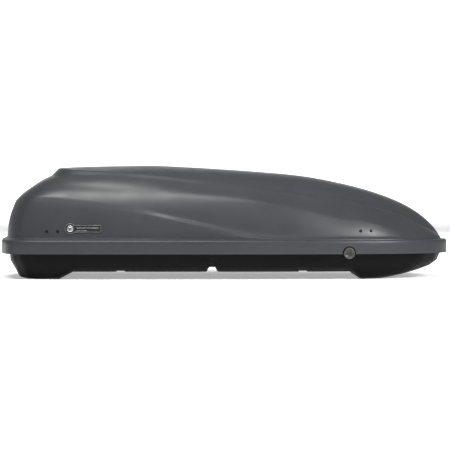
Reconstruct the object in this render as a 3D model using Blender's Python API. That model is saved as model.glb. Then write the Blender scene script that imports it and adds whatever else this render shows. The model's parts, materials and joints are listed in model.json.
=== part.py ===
"""Roof cargo box with a side-opening lid: lower tray, lid, hinges, gas struts, lock and roof-bar clamps.

Metres, +Z up, +X towards the nose of the box, -Y towards the side that opens.
The origin is at the middle of the box, on the surface that its two feet stand on.
"""

import math

import bmesh
import bpy
import numpy as np
from mathutils import Matrix, Vector
from mathutils.bvhtree import BVHTree

# ---------------------------------------------------------------- driving dimensions
LENGTH = 1.818  # outer skirt, tail to nose
WIDTH = 0.800  # outer skirt, at its widest
WIDEST_X = -0.10  # station where the box is widest
TAIL_POWER = 8.0  # superellipse exponents of the plan outline
NOSE_POWER = 2.9
TAIL_BOW = 0.057  # how far the tail curves forward at the flanks
TAIL_BOW_REACH = 12

SKIRT_BOTTOM = 0.101
SKIRT_TOP = 0.156
LID_WALL = 0.0030
FLANGE = 0.024  # the lid's flange, from the skirt's face to the lid's wall

RIM_GAP = 0.0135  # skirt's outer face to the inner side of the tray's rim
RIM_Z = 0.1450
RIM_LIP = 0.012
TRAY_WALL = 0.0035
TRAY_INSET = 0.032  # skirt's outer face to the tray's wall
FLOOR_Z = 0.0295  # underside of the floor between the feet

GROOVE_Y = 0.250  # grooves that take the clamp bolts
GROOVE_DEPTH = 0.020
GROOVE_FOOT, GROOVE_TOP = 0.015, 0.009  # half widths
GROOVE_ENDS = (-0.545, 0.430)
CHANNEL_X = -0.046
CHANNEL_DEPTH = 0.019
CHANNEL_FOOT, CHANNEL_TOP = 0.021, 0.012
CLAMP_X = (-0.407, 0.313)  # roof-bar stations
SEAT_DEPTH = 0.004
SEAT_FOOT, SEAT_TOP = 0.0175, 0.0135

HINGE_Y, HINGE_Z = 0.386, 0.094
HINGE_X = (-0.60, -0.20, 0.20)
HINGE_HALF = 0.030
KNUCKLE_R, PIN_R, PIN_BORE_R = 0.0050, 0.0023, 0.0027
LEAF_T = 0.0020

LOCK_X, LOCK_Z = 0.492, 0.105
LOCK_FACE_Y = -0.3680
BEZEL_R, BARREL_R, CYLINDER_R = 0.0225, 0.0155, 0.0095
ARCH_R = 0.0265
BAR_Y, BAR_T = -0.2970, 0.0030  # inner face of the lock bar, and its thickness
BAR_Z, BAR_H = 0.055, 0.018  # bottom edge and height
BAR_X = (-0.718, 0.531)
CRANK_R, CRANK_PIN_R = 0.0150, 0.0035
BAR_TRAVEL = CRANK_R * math.sqrt(2)  # the crank swings 45 degrees to each side of straight down
GUIDE_X = (-0.590, 0.020, 0.420)
CATCH_X = {"rear": -0.6700, "front": 0.5597}
RIVET_PITCH, RIVET_Z = 0.0425, 0.1905
CATCH_HALF = 0.0110  # half the height of a catch's plate
CATCH_ARM_Y = -0.3068
STUD_Z, STUD_R = 0.094, 0.0040

BADGE_X, BADGE_Z = -0.550, 0.2005
BADGE_HALF, BADGE_BAR_HALF, BADGE_END_R, BADGE_CORNER_R = 0.0718, 0.0148, 0.0215, 0.0050

STRUTS = {"rear": (-0.550, (0.314, 0.296)), "front": (0.410, (0.278, 0.240))}  # station, lid end (y, z)
STRUT_FOOT_Z = 0.056
OPEN_ANGLE = 52.0
STRUT_R, ROD_R, EYE_R, STRUT_PIN_R = 0.0090, 0.0040, 0.0090, 0.0040
LUG = (0.0066, 0.0093)  # faces of a bracket's lug, from the strut's middle

LEG_X = 0.040  # a clamp bolt's legs, from the middle of the roof bar
BOLT_R = 0.0040
BOLT_REST_Z, BOLT_TOP_Z = 0.0400, 0.1480
GAP = 0.0004


# ---------------------------------------------------------------- plain helpers
def clear_scene():
    for obj in list(bpy.data.objects):
        bpy.data.objects.remove(obj, do_unlink=True)


def make_material(name, color, roughness, metallic=0.0):
    material = bpy.data.materials.new(name)
    material.use_nodes = True
    shader = material.node_tree.nodes["Principled BSDF"]
    shader.inputs["Base Color"].default_value = (*color, 1.0)
    shader.inputs["Roughness"].default_value = roughness
    shader.inputs["Metallic"].default_value = metallic
    return material


def add_object(name, vertices, faces, material=None, smooth_angle=35.0):
    mesh = bpy.data.meshes.new(name)
    mesh.from_pydata([tuple(v) for v in vertices], [], faces)
    mesh.validate()
    bm = bmesh.new()
    bm.from_mesh(mesh)
    bmesh.ops.remove_doubles(bm, verts=bm.verts, dist=1e-6)
    bmesh.ops.recalc_face_normals(bm, faces=bm.faces)
    bm.to_mesh(mesh)
    bm.free()
    mesh.shade_smooth()
    mesh.set_sharp_from_angle(angle=math.radians(smooth_angle))
    obj = bpy.data.objects.new(name, mesh)
    bpy.context.scene.collection.objects.link(obj)
    if material:
        mesh.materials.append(material)
    return obj


def apply_modifiers(obj):
    """Turns the object's evaluated shape into its own mesh."""
    bpy.context.view_layer.update()
    graph = bpy.context.evaluated_depsgraph_get()
    mesh = bpy.data.meshes.new_from_object(obj.evaluated_get(graph))
    obj.modifiers.clear()
    obj.data = mesh
    mesh.set_sharp_from_angle(angle=math.radians(35))


def combine(obj, operation, *others):
    """Joins other solids to obj, or cuts them from it, and removes them."""
    for other in others:
        modifier = obj.modifiers.new(operation.lower(), "BOOLEAN")
        modifier.operation = operation
        modifier.solver = "EXACT"
        modifier.object = other
    apply_modifiers(obj)
    for other in others:
        bpy.data.objects.remove(other, do_unlink=True)
    return obj


def prism(name, outline, axis, low, high, material=None):
    """A flat outline pushed along an axis. The outline is in the other two axes, in X, Y, Z order."""
    order = {"x": (1, 2, 0), "y": (0, 2, 1), "z": (0, 1, 2)}[axis]
    points = []
    for along in (low, high):
        for a, b in outline:
            point = [0.0, 0.0, 0.0]
            point[order[0]], point[order[1]], point[order[2]] = a, b, along
            points.append(point)
    count = len(outline)
    faces = [list(range(count))[::-1], [count + i for i in range(count)]]
    faces += [[i, (i + 1) % count, count + (i + 1) % count, count + i] for i in range(count)]
    return add_object(name, points, faces, material)


def box(name, low, high, material=None):
    outline = [(low[0], low[1]), (high[0], low[1]), (high[0], high[1]), (low[0], high[1])]
    return prism(name, outline, "z", low[2], high[2], material)


def circle(center, radius, count, start=0.0, end=360.0):
    """Points of an arc in a plane. A full circle leaves out its last point."""
    full = abs(end - start) >= 360.0
    steps = count if full else count - 1
    angles = [math.radians(start + (end - start) * i / steps) for i in range(count)]
    return [(center[0] + radius * math.cos(a), center[1] + radius * math.sin(a)) for a in angles]


def round_rod(name, radius, axis, center, low, high, segments=16, material=None):
    return prism(name, circle(center, radius, segments), axis, low, high, material)


def turned(name, profile, segments, material=None):
    """A body turned about Z. The profile is (radius, height) points, and closes on itself."""
    points, faces = [], []
    count = len(profile)
    for i in range(segments):
        angle = 2 * math.pi * i / segments
        points += [(r * math.cos(angle), r * math.sin(angle), h) for r, h in profile]
    for i in range(segments):
        here, after = i * count, (i + 1) % segments * count
        for j in range(count):
            k = (j + 1) % count
            faces.append([here + j, after + j, after + k, here + k])
    return add_object(name, points, faces, material)


def move(obj, matrix):
    obj.data.transform(matrix)
    return obj


def rotated(obj, axis, degrees, to=(0.0, 0.0, 0.0)):
    return move(obj, Matrix.Translation(to) @ Matrix.Rotation(math.radians(degrees), 4, axis.upper()))


def ring_body(name, outer, inner, axis, center, low, high, segments=12, material=None):
    """A tube along an axis; `center` is in the other two axes."""
    body = turned(name, [(outer, low), (outer, high), (inner, high), (inner, low)], segments, material)
    a, b = center
    if axis == "x":
        return rotated(body, "y", 90, (0, a, b))
    if axis == "y":
        return rotated(body, "x", -90, (a, 0, b))
    return rotated(body, "z", 0, (a, b, 0))


def ribbon(path, thickness):
    """The outline of a strip of even thickness that follows a path of 2-D points."""
    points = [Vector(p) for p in path]
    left, right = [], []
    for i, p in enumerate(points):
        before = (p - points[i - 1]).normalized() if i else (points[1] - p).normalized()
        after = (points[i + 1] - p).normalized() if i < len(points) - 1 else before
        along = (before + after).normalized()
        normal = Vector((-along.y, along.x)) * (thickness / 2 / max(along.dot(before), 0.3))
        left.append(tuple(p + normal))
        right.append(tuple(p - normal))
    return left + right[::-1]


def hull(points):
    """Convex outline round 2-D points."""
    points = sorted(set(points))
    cross = lambda o, a, b: (a[0] - o[0]) * (b[1] - o[1]) - (a[1] - o[1]) * (b[0] - o[0])
    halves = []
    for ordered in (points, points[::-1]):
        half = []
        for p in ordered:
            while len(half) > 1 and cross(half[-2], half[-1], p) <= 0:
                half.pop()
            half.append(p)
        halves += half[:-1]
    return halves


def stadium(start, end, radius, count=5):
    """Outline of a slot between two 2-D points, with round ends."""
    angle = math.degrees(math.atan2(end[1] - start[1], end[0] - start[0]))
    return circle(end, radius, count, angle - 90, angle + 90) + circle(
        start, radius, count, angle + 90, angle + 270
    )


def tree_of(obj):
    return BVHTree.FromPolygons([v.co for v in obj.data.vertices], [p.vertices for p in obj.data.polygons])


def hit(tree, origin, direction):
    """The point where a ray meets a surface, and the surface's normal turned back towards the origin."""
    place, normal, _, _ = tree.ray_cast(Vector(origin), Vector(direction).normalized())
    if normal.dot(Vector(direction)) > 0:
        normal = -normal
    return place, normal


def frame_on(place, normal):
    """A matrix whose local Z is the normal, local X runs along the box and local Y goes up the wall."""
    up = Vector((0, 0, 1))
    x = up.cross(normal).normalized()
    y = normal.cross(x)
    rotation = Matrix((x, y, normal)).transposed().to_4x4()
    return Matrix.Translation(place) @ rotation


def ease(value, low, high):
    """0 below low, 1 above high, and a smooth rise between them."""
    share = min(max((value - low) / (high - low), 0.0), 1.0)
    return share * share * (3 - 2 * share)


def curve_through(points):
    """A smooth function through (x, value) points that doesn't overshoot between them."""
    xs = np.array([p[0] for p in points])
    ys = np.array([p[1] for p in points])
    step = np.diff(xs)
    slope = np.diff(ys) / step
    tangent = np.zeros(len(xs))
    tangent[0], tangent[-1] = slope[0], slope[-1]
    for i in range(1, len(xs) - 1):
        if slope[i - 1] * slope[i] > 0:
            a = 2 * step[i] + step[i - 1]
            b = step[i] + 2 * step[i - 1]
            tangent[i] = (a + b) / (a / slope[i - 1] + b / slope[i])

    def value(x):
        x = min(max(x, xs[0]), xs[-1])
        i = min(int(np.searchsorted(xs, x, side="right")) - 1, len(step) - 1)
        t = (x - xs[i]) / step[i]
        return (
            (1 + 2 * t) * (1 - t) ** 2 * ys[i]
            + t * (1 - t) ** 2 * step[i] * tangent[i]
            + t * t * (3 - 2 * t) * ys[i + 1]
            + t * t * (t - 1) * step[i] * tangent[i + 1]
        )

    return value


def seat_frame(tree, place, normal, half_x, half_y):
    """A frame on a curved wall, moved off it until a flat plate of the given half sizes clears it."""
    frame = frame_on(place, normal)
    rise = 0.0
    for u in (-1, 0, 1):
        for v in (-1, 0, 1):
            start = frame @ Vector((u * half_x, v * half_y, 0.030))
            _, _, _, distance = tree.ray_cast(start, -normal)
            rise = max(rise, 0.030 - distance)
    return frame @ Matrix.Translation((0, 0, rise))


# ---------------------------------------------------------------- plan outlines
class Loop:
    """A closed line round the box. From above it is two half superellipses that meet at WIDEST_X."""

    def __init__(self, tail, nose, half, height, nose_power=NOSE_POWER, tail_power=TAIL_POWER, pull=None):
        self.tail, self.nose, self.half = tail, nose, half
        self.pull = pull or (lambda x: 0.0)
        self.height = height if callable(height) else lambda x: height
        self.nose_power, self.tail_power = nose_power, tail_power

    def reach(self, x):
        """(length of the half that x is in, its exponent)"""
        if x < WIDEST_X:
            return WIDEST_X - self.tail, self.tail_power
        return self.nose - WIDEST_X, self.nose_power

    def half_width(self, x):
        length, power = self.reach(x)
        share = min(abs(x - WIDEST_X) / length, 1.0)
        return self.half * (1 - share**power) ** (1 / power)

    def corner(self, side):
        """The point where the outline turns from the flank to the tail (side -1) or the nose (side 1)."""
        length, power = self.reach(WIDEST_X + side * 1e-6)
        return WIDEST_X + side * length * 2 ** (-1 / power), self.half * 2 ** (-1 / power)

    def end_x(self, y, side):
        length, power = self.reach(WIDEST_X + side * 1e-6)
        return WIDEST_X + side * length * (1 - min(abs(y) / self.half, 1.0) ** power) ** (1 / power)

    def bow(self, x, y):
        """The tail's outline isn't flat: it curves forward on both sides of the middle."""
        toward_tail = min(max((WIDEST_X - x) / (WIDEST_X - self.tail), 0.0), 1.0)
        return x + TAIL_BOW * (2 * abs(y) / WIDTH) ** 1.3 * toward_tail**TAIL_BOW_REACH

    def points(self, rows, columns):
        """Points in order: flank at -Y tail to nose, the nose, flank at +Y nose to tail, the tail."""
        tail_x, tail_y = self.corner(-1)
        nose_x, nose_y = self.corner(1)
        stations = [tail_x, *rows(tail_x, nose_x), nose_x]
        widths = [tail_y, *(self.half_width(x) for x in stations[1:-1]), nose_y]
        across = columns[1:-1]
        flat = [(x, -w) for x, w in zip(stations, widths)]
        flat += [(self.end_x(f * nose_y, 1), f * nose_y) for f in across]
        flat += [(x, w) for x, w in zip(reversed(stations), reversed(widths))]
        flat += [(self.end_x(f * tail_y, -1), f * tail_y) for f in reversed(across)]
        bowed = [(self.bow(x, y), y * (1 - self.pull(x) / self.half)) for x, y in flat]
        return np.array([(x, y, self.height(x)) for x, y in bowed])


def skirt_loop(inset, height, pull=None):
    return Loop(-LENGTH / 2 + inset, LENGTH / 2 - inset, WIDTH / 2 - inset, height, pull=pull)


def bands(rings):
    """Quads between rings of points that follow each other."""
    count = len(rings[0])
    faces = []
    for r in range(len(rings) - 1):
        for i in range(count):
            j = (i + 1) % count
            faces.append([r * count + i, r * count + j, (r + 1) * count + j, (r + 1) * count + i])
    return faces


def cap(ring, first, rows, columns, surface, place, bend):
    """Fills a ring with a grid. `first` is the index of the ring's first point.

    place(share, width) gives the Y of a column; bend(distance, side) how far a row follows the end's curve.
    Returns the new points and the faces.
    """
    n, m = rows + 1, len(columns) - 1
    total = len(ring)
    near = [first + i for i in range(n + 1)]
    nose = [first + n + k for k in range(m + 1)]
    far = [first + n + m + n - i for i in range(n + 1)]
    tail = [first] + [first + total - k for k in range(1, m)] + [first + n + m + n]
    at = lambda index: ring[index - first]
    index, points = {}, []
    for i in range(n + 1):
        index[i, 0], index[i, m] = near[i], far[i]
    for k in range(m + 1):
        index[0, k], index[n, k] = tail[k], nose[k]
    x0, x1 = at(near[0])[0], at(near[n])[0]
    for i in range(1, n):
        x, width = at(near[i])[0], abs(at(near[i])[1])
        to_tail, to_nose = bend(x - x0, -1), bend(x1 - x, 1)
        for k in range(1, m):
            px = x + to_tail * (at(tail[k])[0] - x0) + to_nose * (at(nose[k])[0] - x1)
            py = place(columns[k], width)
            index[i, k] = first + total + len(points)
            points.append((px, py, surface(px, py)))
    faces = []
    for i in range(n):
        for k in range(m):
            faces.append([index[i, k], index[i + 1, k], index[i + 1, k + 1], index[i, k + 1]])
    return points, faces


# ---------------------------------------------------------------- lid
LID_ROWS = [0.014, 0.035, 0.063, 0.10, 0.15, 0.21, 0.275, 0.34, 0.405, 0.47, 0.535, 0.60, 0.665, 0.73, 0.79,
            0.845, 0.89, 0.93, 0.965]
LID_COLUMNS = [-1.0, -0.93, -0.82, -0.65, -0.40, -0.13, 0.0, 0.13, 0.40, 0.65, 0.82, 0.93, 1.0]

crown = curve_through([
    (-0.676, 0.4410), (-0.60, 0.4460), (-0.45, 0.4500), (-0.30, 0.4515), (-0.10, 0.4430), (0.10, 0.4300),
    (0.30, 0.4125), (0.50, 0.3755), (0.65, 0.3318), (0.76, 0.2828), (0.83, 0.2320), (0.862, 0.1990),
    (0.878, 0.1745),
])
flange_root = curve_through([
    (-0.885, 0.1640), (-0.50, 0.1650), (0.0, 0.1600), (0.30, 0.1560), (0.45, 0.1540), (0.885, 0.1550),
])
belt = curve_through([
    (-0.850, 0.3110), (-0.756, 0.3080), (-0.53, 0.2857), (-0.288, 0.2527), (-0.09, 0.2155), (0.10, 0.1745),
    (0.22, 0.1640), (0.884, 0.1590),
])
ledge = curve_through([
    (-0.838, 0.3225), (-0.725, 0.3280), (-0.56, 0.3118), (-0.385, 0.2898), (-0.288, 0.2698), (-0.19, 0.2460),
    (-0.09, 0.2231), (0.10, 0.1831), (0.22, 0.1710), (0.8835, 0.1610),
])
shoulder = curve_through([
    (-0.785, 0.3645), (-0.70, 0.3720), (-0.56, 0.3660), (-0.385, 0.3540), (-0.288, 0.3460), (-0.09, 0.3300),
    (0.05, 0.3170), (0.30, 0.2780), (0.444, 0.2443), (0.598, 0.2210), (0.679, 0.1960), (0.785, 0.1720),
    (0.8815, 0.1650),
])
step_foot = curve_through([
    (-0.704, 0.4116), (-0.64, 0.4087), (-0.49, 0.4101), (-0.292, 0.3971), (-0.094, 0.3749), (0.104, 0.3595),
    (0.302, 0.3354), (0.481, 0.3065), (0.70, 0.2516), (0.80, 0.2082), (0.880, 0.1700),
])
panel_edge = curve_through([
    (-0.676, 0.4410), (-0.569, 0.4300), (-0.49, 0.4268), (-0.292, 0.4144), (-0.094, 0.3909), (0.104, 0.3653),
    (0.302, 0.3393), (0.481, 0.3107), (0.70, 0.2564), (0.80, 0.2120), (0.878, 0.1745),
])


def lid_loops():
    """The lid's feature lines, from the skirt's bottom edge to the edge of the raised top panel."""
    wall_middle = lambda x: 0.5 * (flange_root(x) + belt(x))
    lean = lambda x: 0.014 * (1 - ease(x, -0.60, 0.10))
    groove = lambda x: 0.0045 * ease(x, 0.05, 0.35)
    return [
        skirt_loop(0.0, SKIRT_BOTTOM),
        skirt_loop(0.0, SKIRT_TOP - 0.006),
        skirt_loop(0.006, SKIRT_TOP),
        skirt_loop(FLANGE, flange_root, groove),
        Loop(-0.881, 0.8845, 0.3750, wall_middle, pull=lambda x: 0.3 * lean(x) + groove(x)),
        Loop(-0.850, 0.8840, 0.3690, belt, tail_power=7.0, pull=lean),
        Loop(-0.838, 0.8835, 0.3610, ledge, tail_power=7.0, pull=lean),
        Loop(-0.785, 0.8815, 0.3250, shoulder, 3.15, 6.5, pull=lambda x: 0.9 * lean(x)),
        Loop(-0.704, 0.8800, 0.2750, step_foot, nose_power=2.35, tail_power=6.0),
        Loop(-0.676, 0.8780, 0.2620, panel_edge, nose_power=2.25, tail_power=6.0),
    ]


BULGE = {"tail": 0.04, "flank": 0.035, "nose": 0.03}
BULGED_BANDS = (7, 6)  # between the ledge, the shoulder and the foot of the step, the upper one first


def bulged_rings(low, high, shares):
    """Rings between two rings, swollen at right angles to the straight line from one to the other."""
    rings = []
    chord = high - low
    length = np.linalg.norm(chord, axis=1, keepdims=True)
    outward = low.copy()
    outward[:, 0] = (low[:, 0] - WIDEST_X) / LENGTH
    outward[:, 1] /= WIDTH
    outward[:, 2] = 0.0
    outward = np.sign(outward) * np.abs(outward) ** 3
    outward /= np.linalg.norm(outward, axis=1, keepdims=True)
    along = chord / length
    swell = outward + np.array([0, 0, 1.0])
    swell -= (swell * along).sum(1, keepdims=True) * along
    swell /= np.linalg.norm(swell, axis=1, keepdims=True)
    side = np.abs(outward[:, 1:2])
    end = np.where(low[:, :1] < WIDEST_X, BULGE["tail"], BULGE["nose"])
    amount = side * BULGE["flank"] + (1 - side) * end
    for t in shares:
        rings.append(low + t * chord + 4 * t * (1 - t) * amount * length * swell)
    return rings


def panel_height(edge_loop):
    """The raised top panel: highest along the middle, down to its edge on each side."""

    def height(x, y):
        width = max(edge_loop.half_width(x), 1e-4)
        return crown(x) - (crown(x) - panel_edge(x)) * min(abs(y) / width, 1.0) ** 2.2

    return height


def lid_surface(rows, columns, shares):
    """(points, faces) of the lid's outer skin."""
    spread = lambda a, b: [a + (b - a) * share for share in rows]
    even = lambda share, width: share * width
    bend = lambda distance, side: max(0.0, 1 - distance / 0.5) ** 2
    loops = lid_loops()
    rings = [loop.points(spread, columns) for loop in loops]
    for band in BULGED_BANDS:
        rings[band + 1 : band + 1] = bulged_rings(rings[band], rings[band + 1], shares)
    faces = bands(rings)
    first = (len(rings) - 1) * len(rings[0])
    more, cap_faces = cap(rings[-1], first, len(rows), columns, panel_height(loops[-1]), even, bend)
    return [tuple(p) for ring in rings for p in ring] + more, faces + cap_faces


def faces_up(obj, up):
    """Turns an open surface so that its normals point up (True) or down on the whole."""
    total = sum(p.normal.z * p.area for p in obj.data.polygons)
    if (total > 0) != up:
        obj.data.flip_normals()


def make_shell(name, surface, thickness, up, material):
    points, faces = surface
    obj = add_object(name, points, faces, material)
    faces_up(obj, up)
    modifier = obj.modifiers.new("wall", "SOLIDIFY")
    modifier.thickness = thickness
    modifier.offset = -1.0
    modifier.use_even_offset = True
    modifier.use_rim = True
    apply_modifiers(obj)
    return obj


# ---------------------------------------------------------------- tray
TRAY_STATIONS = [
    -0.72, -0.690, -0.652, -0.596, -0.570, GROOVE_ENDS[0], CLAMP_X[0] - SEAT_FOOT, CLAMP_X[0] - SEAT_TOP,
    CLAMP_X[0] + SEAT_TOP, CLAMP_X[0] + SEAT_FOOT, -0.25, -0.15, CHANNEL_X - CHANNEL_FOOT,
    CHANNEL_X - CHANNEL_TOP, CHANNEL_X + CHANNEL_TOP, CHANNEL_X + CHANNEL_FOOT, 0.09, 0.20,
    CLAMP_X[1] - SEAT_FOOT, CLAMP_X[1] - SEAT_TOP, CLAMP_X[1] + SEAT_TOP, CLAMP_X[1] + SEAT_FOOT, 0.39,
    GROOVE_ENDS[1], 0.445, 0.476, 0.507, 0.541, 0.5567, 0.5637, 0.5715, 0.5785,
]
GROOVE_LINES = [GROOVE_Y - GROOVE_FOOT, GROOVE_Y - GROOVE_TOP, GROOVE_Y + GROOVE_TOP, GROOVE_Y + GROOVE_FOOT]
FLOOR_HALF = 0.312

belly = curve_through([
    (-0.900, 0.0950), (-0.868, 0.0520), (-0.850, 0.0310), (-0.8356, 0.0215), (-0.815, 0.0110),
    (-0.795, 0.0040), (-0.765, 0.0), (-0.652, 0.0), (-0.596, FLOOR_Z), (0.507, FLOOR_Z), (0.541, 0.0), (0.611, 0.0), (0.650, 0.0045), (0.694, 0.0122),
    (0.7556, 0.0237), (0.7987, 0.0356), (0.842, 0.0503), (0.900, 0.0780),
])


def trapezoid(distance, top, foot):
    """1 within `top` of a line, 0 beyond `foot`, straight between."""
    return min(max((foot - abs(distance)) / (foot - top), 0.0), 1.0)


def cross_relief(x):
    """How far the floor is raised at a station, across its whole width."""
    channel = CHANNEL_DEPTH * trapezoid(x - CHANNEL_X, CHANNEL_TOP, CHANNEL_FOOT)
    seats = [SEAT_DEPTH * trapezoid(x - c, SEAT_TOP, SEAT_FOOT) for c in CLAMP_X]
    return max(channel, *seats)


def floor_height(x, y):
    """Underside of the tray's floor."""
    run = min(max((x - GROOVE_ENDS[0]) / 0.015 + 1, 0), max((GROOVE_ENDS[1] - x) / 0.015 + 1, 0), 1)
    groove = run * GROOVE_DEPTH * trapezoid(abs(y) - GROOVE_Y, GROOVE_TOP, GROOVE_FOOT)
    return belly(x) + max(groove, cross_relief(x))


def tray_loops():
    middle = lambda x: min(max((0.80 - abs(x)) / 0.15, 0.0), 1.0)
    edge = lambda x: belly(x) + cross_relief(x) + 0.008 * middle(x)
    low_wall = lambda x: max(0.047, edge(x) + 0.012 * middle(x))
    wall = lambda x: max(0.070, edge(x) + 0.026 * middle(x))
    return [
        skirt_loop(RIM_GAP, RIM_Z - RIM_LIP),
        skirt_loop(RIM_GAP, RIM_Z),
        skirt_loop(TRAY_INSET, RIM_Z),
        Loop(-0.8770, 0.8840, 0.3630, 0.100),
        Loop(-0.8735, 0.8710, 0.3570, wall),
        Loop(-0.8600, 0.8450, 0.3480, low_wall),
        Loop(-0.8440, 0.8080, 0.3320, edge),
        Loop(-0.8120, 0.7700, FLOOR_HALF, lambda x: belly(x) + cross_relief(x)),
    ]


def tray_columns():
    """Shares of the half width; the groove's lines stay straight where the floor is wide enough."""
    lines = [0.09, 0.17, *GROOVE_LINES]
    shares = [line / FLOOR_HALF for line in lines]
    return [-1.0, *(-s for s in reversed(shares)), 0.0, *shares, 1.0]


def tray_surface():
    columns = tray_columns()
    stations = lambda a, b: TRAY_STATIONS
    rings = [loop.points(stations, columns) for loop in tray_loops()]
    faces = bands(rings)
    first = (len(rings) - 1) * len(rings[0])
    more, cap_faces = cap(rings[-1], first, len(TRAY_STATIONS), columns, floor_height, straight, floor_bend)
    return [tuple(p) for ring in rings for p in ring] + more, faces + cap_faces


def straight(share, width):
    """Keeps the groove's lines straight where the floor is wide enough, then follows the nose."""
    end = tray_loops()[-1].corner(1)[1]
    held = min(max((width - end) / (0.275 - end), 0.0), 1.0)
    return share * (held * FLOOR_HALF + (1 - held) * end)


def floor_bend(distance, side):
    return max(0.0, 1 - distance / (0.040 if side > 0 else 0.066))


# ---------------------------------------------------------------- tray openings
def lock_boss(material):
    """The moulded seat behind the lock's ring, out to just behind the ring."""
    deep = LOCK_FACE_Y + 0.0064
    return round_rod("boss", 0.0240, "y", (LOCK_X, LOCK_Z), deep, -0.3215, 24, material)


def finish_tray(tray):
    """Adds the lock's seat, then cuts the lock's hole and the clamp bolts' slots."""
    combine(tray, "UNION", lock_boss(tray.data.materials[0]))
    cuts = [round_rod("lock_hole", BARREL_R + GAP, "y", (LOCK_X, LOCK_Z), -0.40, -0.30, 24)]
    for station in CLAMP_X:
        for side in (-1, 1):
            for leg in (-1, 1):
                start, end = sorted((station + leg * 0.018, station + leg * 0.062))
                outline = stadium((start, side * GROOVE_Y), (end, side * GROOVE_Y), 0.0055)
                cuts.append(prism("slot", outline, "z", 0.035, 0.070))
    return combine(tray, "DIFFERENCE", *cuts)


# ---------------------------------------------------------------- lid openings and what is fixed to the lid
def rivet_frames(lid_tree, catch):
    """Frames on the lid's inner wall, one for each of a catch's two rivets."""
    place, normal = hit(lid_tree, (CATCH_X[catch], -0.20, RIVET_Z), (0, -1, 0))
    frame = seat_frame(lid_tree, place, normal, 0.032, CATCH_HALF)
    return frame, [frame @ Matrix.Translation((s * RIVET_PITCH / 2, 0, 0)) for s in (-1, 1)]


def finish_lid(lid, lid_tree):
    cuts = [round_rod("arch", ARCH_R, "y", (LOCK_X, LOCK_Z), -0.42, -0.345, 24)]
    for catch in CATCH_X:
        for frame in rivet_frames(lid_tree, catch)[1]:
            cuts.append(move(round_rod("hole", 0.0029, "z", (0, 0), -0.015, 0.005, 10), frame))
    return combine(lid, "DIFFERENCE", *cuts)


def make_rivet(name, frame, lid_tree, material):
    """A blind rivet: a domed head outside the lid, a shank through the wall and a tail on the catch."""
    outward = frame.to_3x3() @ Vector((0, 0, -1))
    reach = []
    for u, v in [(0.0, 0.0), (0.006, 0.0), (-0.006, 0.0), (0.0, 0.006), (0.0, -0.006)]:
        start = frame @ Vector((u, v, -0.050))
        reach.append(0.050 - lid_tree.ray_cast(start, -outward)[3])
    wall = max(reach) + 0.0004
    profile = [
        (0.0002, -wall - 0.0024), (0.0038, -wall - 0.0020), (0.0060, -wall),
        (0.0025, -wall), (0.0025, 0.0033),
        (0.0042, 0.0033), (0.0036, 0.0050), (0.0002, 0.0050),
    ]
    return move(turned(name, profile, 10, material), frame)


def make_catch(name, catch, lid_tree, material):
    """The bracket behind two rivets, its arm over the tray's rim and the stud that the lock's hook holds."""
    frame, holes = rivet_frames(lid_tree, catch)
    plate = move(box(name, (-0.032, -CATCH_HALF, 0.0004), (0.032, CATCH_HALF, 0.0029), material), frame)
    for hole in holes:
        combine(plate, "DIFFERENCE", move(round_rod("hole", 0.0029, "z", (0, 0), -0.01, 0.01, 10), hole))
    x, start = CATCH_X[catch], frame @ Vector((0, -0.0085, 0.0075))
    path = [(start.y, start.z), (CATCH_ARM_Y, start.z - 0.0116), (CATCH_ARM_Y, STUD_Z - 0.008)]
    arm = prism("arm", ribbon(path, 0.0026), "x", x - 0.014, x + 0.014, material)
    stud = round_rod("stud", STUD_R, "y", (x, STUD_Z), CATCH_ARM_Y - 0.0002, -0.2900, 12, material)
    root = move(box("root", (-0.0105, -0.0102, 0.0012), (0.0105, -0.0058, 0.0110), material), frame)
    return combine(plate, "UNION", root, arm, stud)


def make_rib(name, x, lid_tree, material):
    """A hat-section stiffener under the top of the lid, from one shoulder to the other."""
    section = [
        (-0.030, 0.0), (-0.015, 0.0), (-0.012, -0.011), (0.012, -0.011), (0.015, 0.0), (0.030, 0.0),
        (0.030, -0.002), (0.0164, -0.002), (0.0134, -0.013), (-0.0134, -0.013), (-0.0164, -0.002),
        (-0.030, -0.002),
    ]
    points, faces = [], []
    stations = [-0.235, -0.19, -0.14, -0.07, 0.0, 0.07, 0.14, 0.19, 0.235]
    for y in stations:
        for dx, dz in section:
            top, _ = hit(lid_tree, (x + dx, y, 0.25), (0, 0, 1))
            points.append((x + dx, y, top.z - 0.0016 + dz))
    count = len(section)
    for i in range(len(stations) - 1):
        for j in range(count):
            k = (j + 1) % count
            faces.append([i * count + j, i * count + k, (i + 1) * count + k, (i + 1) * count + j])
    caps = [[0, 1, 10, 11], [1, 2, 9, 10], [2, 3, 8, 9], [3, 4, 7, 8], [4, 5, 6, 7]]
    last = (len(stations) - 1) * count
    for c in caps:
        faces.append(c[::-1])
        faces.append([last + i for i in c])
    return add_object(name, points, faces, material)


def badge_outline():
    """A bar with one round end that is wider than the bar."""
    turn = math.degrees(math.asin(BADGE_BAR_HALF / BADGE_END_R))
    corner_x, corner_y = BADGE_HALF - BADGE_CORNER_R, BADGE_BAR_HALF - BADGE_CORNER_R
    outline = circle((BADGE_END_R - BADGE_HALF, 0.0), BADGE_END_R, 17, turn, 360 - turn)
    outline += circle((corner_x, -corner_y), BADGE_CORNER_R, 4, -90, 0)
    return outline + circle((corner_x, corner_y), BADGE_CORNER_R, 4, 0, 90)


def make_badge(lid_tree_outside, material):
    """A blank name plate on the side of the lid."""
    place, normal = hit(lid_tree_outside, (BADGE_X, -0.60, BADGE_Z), (0, 1, 0))
    return move(prism("badge_plate", badge_outline(), "z", 0.0008, 0.0034, material), frame_on(place, normal))


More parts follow.
